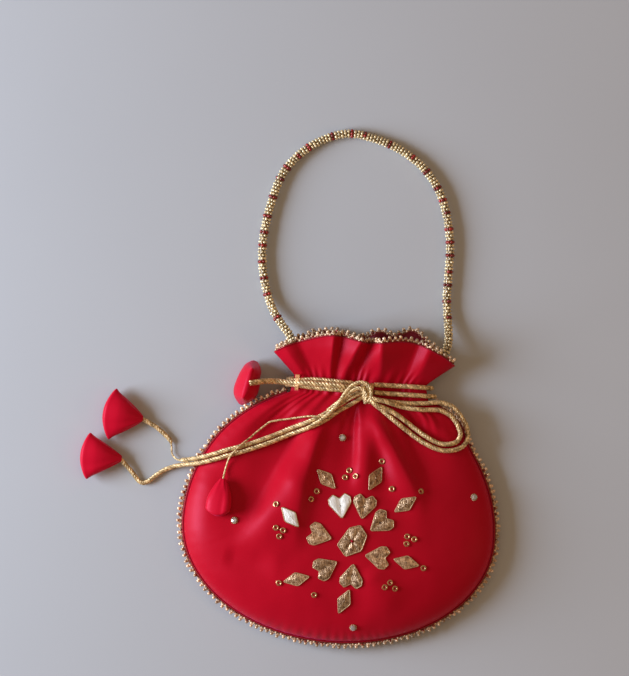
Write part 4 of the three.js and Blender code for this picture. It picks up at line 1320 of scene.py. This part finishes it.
class POTLI_OT_tassels(bpy.types.Operator):
    """Makes the four stuffed cloth tassels"""

    bl_idname = "potli.tassels"
    bl_label = "Tassels"

    RINGS = 44
    BASE_RINGS = 8
    SIDES = 72
    TIP = 1.7
    BASE_FROM = 0.94
    BASE_DEPTH = 0.121
    SQUARENESS = 0.85
    SIDES_END = 0.96
    BASE_SPAN = (0.98, 1.06)
    CONE_POWER = 0.92
    # Fullest place along the tassel, share lost below it and where that ends, for its width and thickness
    BUD = (0.62, 0.45, 1.05)
    STUFFING = (0.7, 0.35, 1)
    GATHERS = 9
    GATHER_REACH = 0.42
    CREASE_DEPTH = 0.10
    CREASE_AT = 1.9
    CREASE_HALF = 0.22
    CREASE_GROWS = (0.1, 0.5)
    DENTS = 3
    DENT_DEPTH = 0.08
    DENT_GROWS = (0.2, 0.9)
    BASE_WAVE = 0.9
    WAVE_GROWS = (0.7, 1)
    BULGE_GROWS = (0.55, 1)
    FILL = 0.7

    def form(self, size, blunt, gather, bulge, bud, seed):
        """A cloth cone gathered at its tip, plump in the middle and folded in at its base."""
        length, width, thickness = size
        phase = random.Random(seed).uniform(0, 6.28)
        sides = np.linspace(0, self.SIDES_END, self.RINGS - self.BASE_RINGS)
        share = np.concatenate([sides, np.linspace(*self.BASE_SPAN, self.BASE_RINGS)])
        turn = np.linspace(0, 2 * np.pi, self.SIDES, endpoint=False)
        t, a = np.meshgrid(share, turn, indexing="ij")
        capped = np.minimum(t, 1)
        spread = mix(capped**self.CONE_POWER, self.plump(capped, *self.BUD), bud)
        wide = mix(self.TIP + blunt, width / 2, spread)
        thick = mix(self.TIP, thickness / 2, self.plump(capped, *self.STUFFING))
        folded = np.sqrt(np.maximum(1 - ((t - self.BASE_FROM) / self.BASE_DEPTH) ** 2, 0.0))
        shut = np.where(t > self.BASE_FROM, folded, 1.0)
        pleat = 1 + gather * np.exp(-((t / self.GATHER_REACH) ** 2)) * np.cos(self.GATHERS * a + phase)
        pinch = np.exp(-(((a - self.CREASE_AT) / self.CREASE_HALF) ** 2))
        crease = 1 - self.CREASE_DEPTH * pinch * smooth(t, *self.CREASE_GROWS)
        dent = 1 - self.DENT_DEPTH * np.cos(self.DENTS * a + phase) * smooth(t, *self.DENT_GROWS)
        y = self.squared(np.cos(a)) * wide * shut * pleat
        z = self.squared(np.sin(a)) * thick * shut * pleat * crease * dent
        x = t * length - self.BASE_WAVE * np.cos(2 * a) * smooth(t, *self.WAVE_GROWS) * shut
        x = x + bulge * smooth(t, *self.BULGE_GROWS) * (1 - (y / (width / 2)) ** 2)
        return np.stack([x, -y, z], axis=-1)

    def plump(self, along, fullest, loss, end):
        """Fills out to its fullest place and then loses a share towards the base."""
        return np.sin(np.pi / 2 * np.minimum(along / fullest, 1)) * (1 - loss * smooth(along, fullest, end))

    def squared(self, wave):
        """A round section pressed a little towards a square one."""
        return np.sign(wave) * np.abs(wave) ** self.SQUARENESS

    def execute(self, context):
        faces = grid_faces(self.RINGS, self.SIDES, True)[:, ::-1].tolist()
        faces.append(list(range(self.SIDES)))
        faces.append([(self.RINGS - 1) * self.SIDES + i for i in range(self.SIDES)][::-1])
        for seed, (name, (tip, (turn, dip, roll), *shape)) in enumerate(TASSELS.items()):
            points = self.form(*shape, seed).reshape(-1, 3)
            spin = Euler([math.radians(degrees) for degrees in (roll, dip, turn)], "XYZ").to_matrix()
            at = np.array(tip, float)
            if name == "tassel_d":
                at[2] += cloth_top(*TASSEL_D_LIES_AT)[0] - cloth_top(*TASSEL_D_LIES_AT, "solid")[0]
            made = Builder()
            made.add(points @ np.array(spin).T + at, faces)
            tassel = finished(made.build(f"{name}_stuffed", [tassel_satin()]), "tassel_satin", name)
        return {"FINISHED"}


# Ribbon flower

FLOWER_AT = (9.2, -10.0)
# Distance and angle of the centre's corners from its middle
CENTRE_CORNERS = [(10.8, -109), (8.7, -42), (10.3, 25), (11.6, 67), (8.8, 105), (9.9, -162)]
CENTRE_RELIEF = 0.8
HEART_LENGTH = 16.0
HEART_WIDTH = 14.4
HEART_NOTCH = 3.0
# Ends of a heart's straight side as shares of its length, and of its top edge as a share of its half width
HEART_SIDE = (0.12, 0.34)
HEART_TOP = 0.55
HEART_FOLD_HALF = 3.0
HEART_RELIEF = 0.75
# Each petal's distance from the flower's middle, its angle, and its turn away from pointing outwards
HEARTS_AT = [
    (21.1, 174, -6), (23.8, 113, -11), (23.5, 75, 9), (21.6, 37, 5), (19.3, -28, 25), (22.6, -86, -7),
    (23.8, -130, -18),
]
DIAMOND_LENGTH = 17.6
DIAMOND_WIDTH = 9.0
DIAMOND_RELIEF = 0.6
DIAMOND_FOLD = 0.25
DIAMONDS_AT = [
    (43.2, 163, -28), (43.7, 117, 21), (43.5, 74, -9), (42.1, 39, 0), (38.0, -17, 7), (39.8, -93, -17),
    (43.8, -141, -23),
]
# These two patches are painted near white as glare of the lamp on their foil
GLARE_PAINTED_PATCHES = ("heart_2", "diamond_1")
LIGHT_PATCHES = ("heart_1", "heart_5", "diamond_2", "diamond_5", "diamond_7")


def heart_corners():
    """Two folded strips of ribbon side by side, the tip on -Y."""
    half, top = HEART_WIDTH / 2, HEART_LENGTH / 2
    right = [(half, share * HEART_LENGTH) for share in HEART_SIDE] + [(HEART_TOP * half, top)]
    return [(0, -top)] + right + [(0, top - HEART_NOTCH)] + [(-x, y) for x, y in right[::-1]]


def diamond_corners():
    half, top = DIAMOND_WIDTH / 2, DIAMOND_LENGTH / 2
    return [(0, -top), (half, 0), (0, top), (-half, 0)]


def centre_corners():
    turned = [(reach, math.radians(degrees)) for reach, degrees in CENTRE_CORNERS]
    return [(reach * math.cos(angle), reach * math.sin(angle)) for reach, angle in turned]


def heart_relief(x, y, reach):
    """The strips meet in a fold along the middle and stand up beside it."""
    return HEART_RELIEF * np.minimum(np.abs(x) / HEART_FOLD_HALF, 1) * (1 - reach**6)


def diamond_relief(x, y, reach):
    """One fold along the diamond's length."""
    return DIAMOND_RELIEF * (1 - reach) + DIAMOND_FOLD * (x > 0) * (1 - reach**6)


def centre_relief(x, y, reach):
    """Folds that run out from the middle."""
    return CENTRE_RELIEF * np.abs(np.sin(3 * np.arctan2(y, x))) * np.sin(np.pi * reach)


class POTLI_OT_flower(bpy.types.Operator):
    """Makes the flower of folded ribbon patches sewn on the front, each edged with gold cord"""

    bl_idname = "potli.flower"
    bl_label = "Ribbon flower"

    STEPS = 9
    RINGS = 12
    UNDER_LIFT = 0.05
    TOP_LIFT = 0.15
    CORD_SINK = 0.1
    CORD_STEP = 0.6
    CORD_RADIUS = 0.33
    KNOB = ((1.1, 0, 0), (0, 1.1, 0), (0, 0, 0.8))
    KNOB_LIFT = 0.2

    def softened(self, corners):
        """Points along a patch's edge, with its corners folded soft."""
        edge = np.array(corners, float)
        share = np.linspace(0, 1, self.STEPS, endpoint=False)[:, None]
        edge = np.concatenate([mix(a, b, share) for a, b in zip(edge, np.roll(edge, -1, axis=0))])
        return (np.roll(edge, 1, axis=0) + 2 * edge + np.roll(edge, -1, axis=0)) / 4

    def closed_faces(self, sides, count):
        """Top, underside and rim of a patch whose points run from its middle out."""
        ring = [(k, (k + 1) % sides) for k in range(sides)]
        upper = [[0, 1 + a, 1 + b] for a, b in ring]
        upper += (grid_faces(self.RINGS, sides, True) + 1).tolist()
        lower = [[i + count for i in face[::-1]] for face in upper]
        rim = count - sides
        wall = [[rim + a, rim + a + count, rim + b + count, rim + b] for a, b in ring]
        return upper + lower + wall

    def patch(self, name, corners, relief_of, x, y, angle):
        """A patch that lies on the cloth, with gold cord along its edge."""
        edge = self.softened(corners)
        sides = len(edge)
        share = np.linspace(0, 1, self.RINGS + 1)[1:]
        local = np.concatenate([[[0, 0]], (share[:, None, None] * edge).reshape(-1, 2)])
        reach = np.concatenate([[0], np.repeat(share, sides)])
        plan_x = x + local[:, 0] * math.cos(angle) - local[:, 1] * math.sin(angle)
        plan_y = y + local[:, 0] * math.sin(angle) + local[:, 1] * math.cos(angle)
        under = np.array([cloth_top(a, b)[0] for a, b in zip(plan_x, plan_y)])
        ribbon = sizes().ribbon / MM
        top = under + self.TOP_LIFT + ribbon + relief_of(local[:, 0], local[:, 1], reach)
        made = Builder()
        points = [np.stack([plan_x, plan_y, z], 1) for z in (top, under + self.UNDER_LIFT)]
        made.add(np.concatenate(points), self.closed_faces(sides, len(plan_x)))
        outline = np.stack([plan_x, plan_y, top - self.CORD_SINK], 1)[-sides:]
        ring = resampled(np.vstack([outline, outline[:1]]), self.CORD_STEP)
        made.tube(ring, self.CORD_RADIUS, 6, slot=1)
        if name == "flower_centre":
            made.ball((x, y, top[0] + self.KNOB_LIFT), self.KNOB, 5, 8, slot=2)
        finishes = [patch_ribbon(name), gold_edge(), piping()]
        return finished(made.build(f"{name}_ribbon", finishes, tinted=True), "gota_ribbon", name)

    def petals(self, name, corners, relief_of, places):
        for i, (ring, degrees, turn) in enumerate(places):
            angle = math.radians(degrees)
            x = FLOWER_AT[0] + ring * math.cos(angle)
            y = FLOWER_AT[1] + ring * math.sin(angle)
            self.patch(f"{name}_{i + 1}", corners, relief_of, x, y, angle + math.radians(turn) - math.pi / 2)

    def execute(self, context):
        self.patch("flower_centre", centre_corners(), centre_relief, *FLOWER_AT, 0)
        self.petals("heart", heart_corners(), heart_relief, HEARTS_AT)
        self.petals("diamond", diamond_corners(), diamond_relief, DIAMONDS_AT)
        return {"FINISHED"}


# Sequins and stones

SEQUINS_AT = [
    (4, 35.4), (1.5, 30.7), (8.4, 32.2), (-16.3, 20.5), (-19.7, 15.2),
    (-40.8, -5), (-36, -6.3), (-38.2, -10.4), (32.5, 25.8), (44.6, -9),
    (44.7, -4.2), (49.4, -5.6), (35.8, -35), (32.6, -38.2), (39.3, -38.6),
    (-12.7, -46.8), (-41.8, 10.2), (24.7, 43.1), (51.1, 25.6), (56.8, -23.9), (-36.1, -40.8),
]
STONES_AT = [(-2.2, 56.2), (-68.2, -2.8), (86.3, 24.2), (14.4, -66.3)]


def axes_on_cloth(x, y):
    """Where a small piece sits on the front and its three directions there."""
    height, normal = cloth_top(x, y)
    side = normal.cross(Vector((0, 1, 0))).normalized()
    ahead = normal.cross(side)
    return np.array([x, y, height]), np.array(side), np.array(ahead), np.array(normal)


class POTLI_OT_sequins(bpy.types.Operator):
    """Makes the ring sequins and the set glass stones"""

    bl_idname = "potli.sequins"
    bl_label = "Sequins and stones"

    # Section of a sequin: distance from its middle as a share of its radius, and height
    SECTION = [(0.36, 0.25), (0.62, 0.5), (1.0, 0.85), (1.0, 0.6), (0.62, 0.25), (0.36, 0.05)]
    SEQUIN_SIDES = 28
    SEQUIN_LIFT = 0.1
    STITCH_RADIUS = 0.16
    STITCH_POINTS = 7
    STITCH_REACH = 0.9
    STITCH_FOOT = 0.3
    STITCH_RISE = 0.75
    STITCH_ARCH = 0.8
    # Where a stone's rounded form is cut flat below and above, as shares of its half height
    CUTS = (-0.25, 0.62)
    STONE_LIFT = 0.6
    # The stone's half width and half height, and the ring of its cup, as shares of the radius
    STONE_WIDE = 0.86
    STONE_HIGH = 0.95
    CUP_RING = 0.92
    CUP_BEADS = 12
    CUP_BEAD = 0.5

    def sequin(self, name, x, y):
        """A cupped foil ring with its stitch."""
        spot, side, ahead, normal = axes_on_cloth(x, y)
        outer = sizes().sequin / MM / 2
        turn = np.linspace(0, 2 * np.pi, self.SEQUIN_SIDES, endpoint=False)
        around = np.outer(np.cos(turn), side) + np.outer(np.sin(turn), ahead)
        rings = [
            spot + around * reach * outer + normal * (rise + self.SEQUIN_LIFT) for reach, rise in self.SECTION
        ]
        faces = grid_faces(len(rings) + 1, len(turn), True) % (len(rings) * len(turn))
        made = Builder()
        made.add(np.array(rings), faces[:, ::-1])
        stitch = np.linspace(0, 1, self.STITCH_POINTS)[:, None]
        rise = self.STITCH_FOOT + self.STITCH_RISE * np.sin(np.pi * stitch * self.STITCH_ARCH)
        thread = spot + ahead * (stitch * outer * self.STITCH_REACH) + normal * rise
        made.tube(thread, self.STITCH_RADIUS, 5, slot=1)
        return finished(made.build(f"{name}_ring", [sequin_foil(), piping()], tinted=True), "sequins", name)

    def cut(self, unit):
        return np.column_stack([unit[:, :2], np.clip(unit[:, 2], *self.CUTS)])

    def stone(self, name, x, y):
        """A cut stone in a beaded metal cup."""
        spot, side, ahead, normal = axes_on_cloth(x, y)
        radius = sizes().stone / MM / 2
        made = Builder()
        wide, high = self.STONE_WIDE * radius, self.STONE_HIGH * radius
        axes = (side * wide, ahead * wide, normal * high)
        made.ball(spot + normal * self.STONE_LIFT, axes, 6, 8, shape=self.cut)
        bead = np.array([side, ahead, normal]) * self.CUP_BEAD
        for angle in np.linspace(0, 2 * np.pi, self.CUP_BEADS, endpoint=False):
            around = side * math.cos(angle) + ahead * math.sin(angle)
            at = spot + around * radius * self.CUP_RING + normal * self.CUP_BEAD
            made.ball(at, bead, 4, 6, slot=1)
        glass = kept_material(stone_material, "Foil backed glass cut", colour_of("stone"))
        stone = made.build(f"{name}_set", [glass, gold_edge()], tinted=True)
        for polygon in stone.data.polygons:
            polygon.use_smooth = polygon.material_index == 1
        return finished(stone, "stones", name)

    def execute(self, context):
        for i, (x, y) in enumerate(SEQUINS_AT):
            self.sequin(f"sequin_{i + 1:02d}", x, y)
        for i, (x, y) in enumerate(STONES_AT):
            self.stone(f"stone_{i + 1}", x, y)
        return {"FINISHED"}


# Stage: the view in millimetres and degrees, the lamps in metres and watts

VIEW_CENTRE = (-25.5, 119.7)
VIEW_HEIGHT = 443.5
VIEW_TURN = 4.5
LENS = 240.0
SENSOR = 36.0
# Name, place, size, power, colour and the point that the lamp faces
LAMPS = [
    ("Window", (-1.36, 0.04, 0.56), 0.8, 39.0, "E0EBFD", (-0.04, 0.26, 0)),
    ("Fill", (0.3, 0.5, 1.8), 1.8, 4.2, "F6D0AC", (-0.02, 0.06, 0)),
    ("Room", (1.0, -0.15, 0.7), 0.2, 0.8, "FFCB96", (-0.02, 0.06, 0)),
]
ROOM_COLOUR = "E4C09A"
ROOM_STRENGTH = 0.33
PAPER_HALF = 2.5
PAPER_Z = -0.1 * MM


class POTLI_OT_stage(bpy.types.Operator):
    """Sets the camera straight above the bag, the paper it lies on and a soft window light"""

    bl_idname = "potli.stage"
    bl_label = "Stage"

    def execute(self, context):
        scene = context.scene
        camera_data = bpy.data.cameras.new("Camera")
        camera = bpy.data.objects.new("Camera", camera_data)
        scene.collection.objects.link(camera)
        camera_data.lens = LENS
        camera_data.sensor_width = SENSOR
        distance = VIEW_HEIGHT * MM / 2 / (SENSOR / 2 / LENS)
        camera.location = (VIEW_CENTRE[0] * MM, VIEW_CENTRE[1] * MM, distance)
        camera.rotation_euler = (0, 0, math.radians(VIEW_TURN))
        scene.camera = camera
        self.floor(scene)
        for lamp in LAMPS:
            self.lamp(scene, *lamp)
        world = bpy.data.worlds.new("Room")
        world.use_nodes = True
        back = world.node_tree.nodes["Background"]
        back.inputs["Color"].default_value = srgb(ROOM_COLOUR)
        back.inputs["Strength"].default_value = ROOM_STRENGTH
        scene.world = world
        scene.view_settings.view_transform = "Standard"
        return {"FINISHED"}

    def floor(self, scene):
        mesh = bpy.data.meshes.new("Paper")
        corners = [(-1, -1), (1, -1), (1, 1), (-1, 1)]
        points = [(x * PAPER_HALF, y * PAPER_HALF, PAPER_Z) for x, y in corners]
        mesh.from_pydata(points, [], [(0, 1, 2, 3)])
        mesh.materials.append(kept_material(paper_material, "Pale paper uncoated", colour_of("paper")))
        paper = bpy.data.objects.new("Paper", mesh)
        scene.collection.objects.link(paper)

    def lamp(self, scene, name, place, size, power, colour, faces):
        data = bpy.data.lights.new(name, "AREA")
        data.size = size
        data.energy = power
        data.color = srgb(colour)[:3]
        lamp = bpy.data.objects.new(name, data)
        lamp.location = place
        aim = Vector(faces) - Vector(place)
        lamp.rotation_euler = aim.to_track_quat("-Z", "Y").to_euler()
        scene.collection.objects.link(lamp)


class POTLI_PT_panel(bpy.types.Panel):
    """The bag's parts in the order they are made"""

    bl_idname = "POTLI_PT_panel"
    bl_label = "Potli bag"
    bl_space_type = "VIEW_3D"
    bl_region_type = "UI"
    bl_category = "Potli"

    def draw(self, context):
        for operator in OPERATORS:
            self.layout.operator(operator.bl_idname)
        for group in (context.scene.potli_sizes, context.scene.potli_colours):
            box = self.layout.box()
            for name in group.__annotations__:
                box.prop(group, name)


OPERATORS = (
    POTLI_OT_stage,
    POTLI_OT_cloth,
    POTLI_OT_lace,
    POTLI_OT_handle,
    POTLI_OT_tassels,
    POTLI_OT_drawstring,
    POTLI_OT_flower,
    POTLI_OT_sequins,
)
CLASSES = (PotliSizes, PotliColours) + OPERATORS + (POTLI_PT_panel,)


def register():
    for kind in CLASSES:
        bpy.utils.register_class(kind)
    bpy.types.Scene.potli_sizes = bpy.props.PointerProperty(type=PotliSizes)
    bpy.types.Scene.potli_colours = bpy.props.PointerProperty(type=PotliColours)


def unregister():
    del bpy.types.Scene.potli_colours
    del bpy.types.Scene.potli_sizes
    for kind in reversed(CLASSES):
        bpy.utils.unregister_class(kind)


def main():
    register()
    bpy.ops.potli.stage()
    bpy.ops.potli.cloth()
    bpy.ops.potli.lace()
    bpy.ops.potli.handle()
    bpy.ops.potli.tassels()
    bpy.ops.potli.drawstring()
    bpy.ops.potli.flower()
    bpy.ops.potli.sequins()


if __name__ == "__main__":
    main()
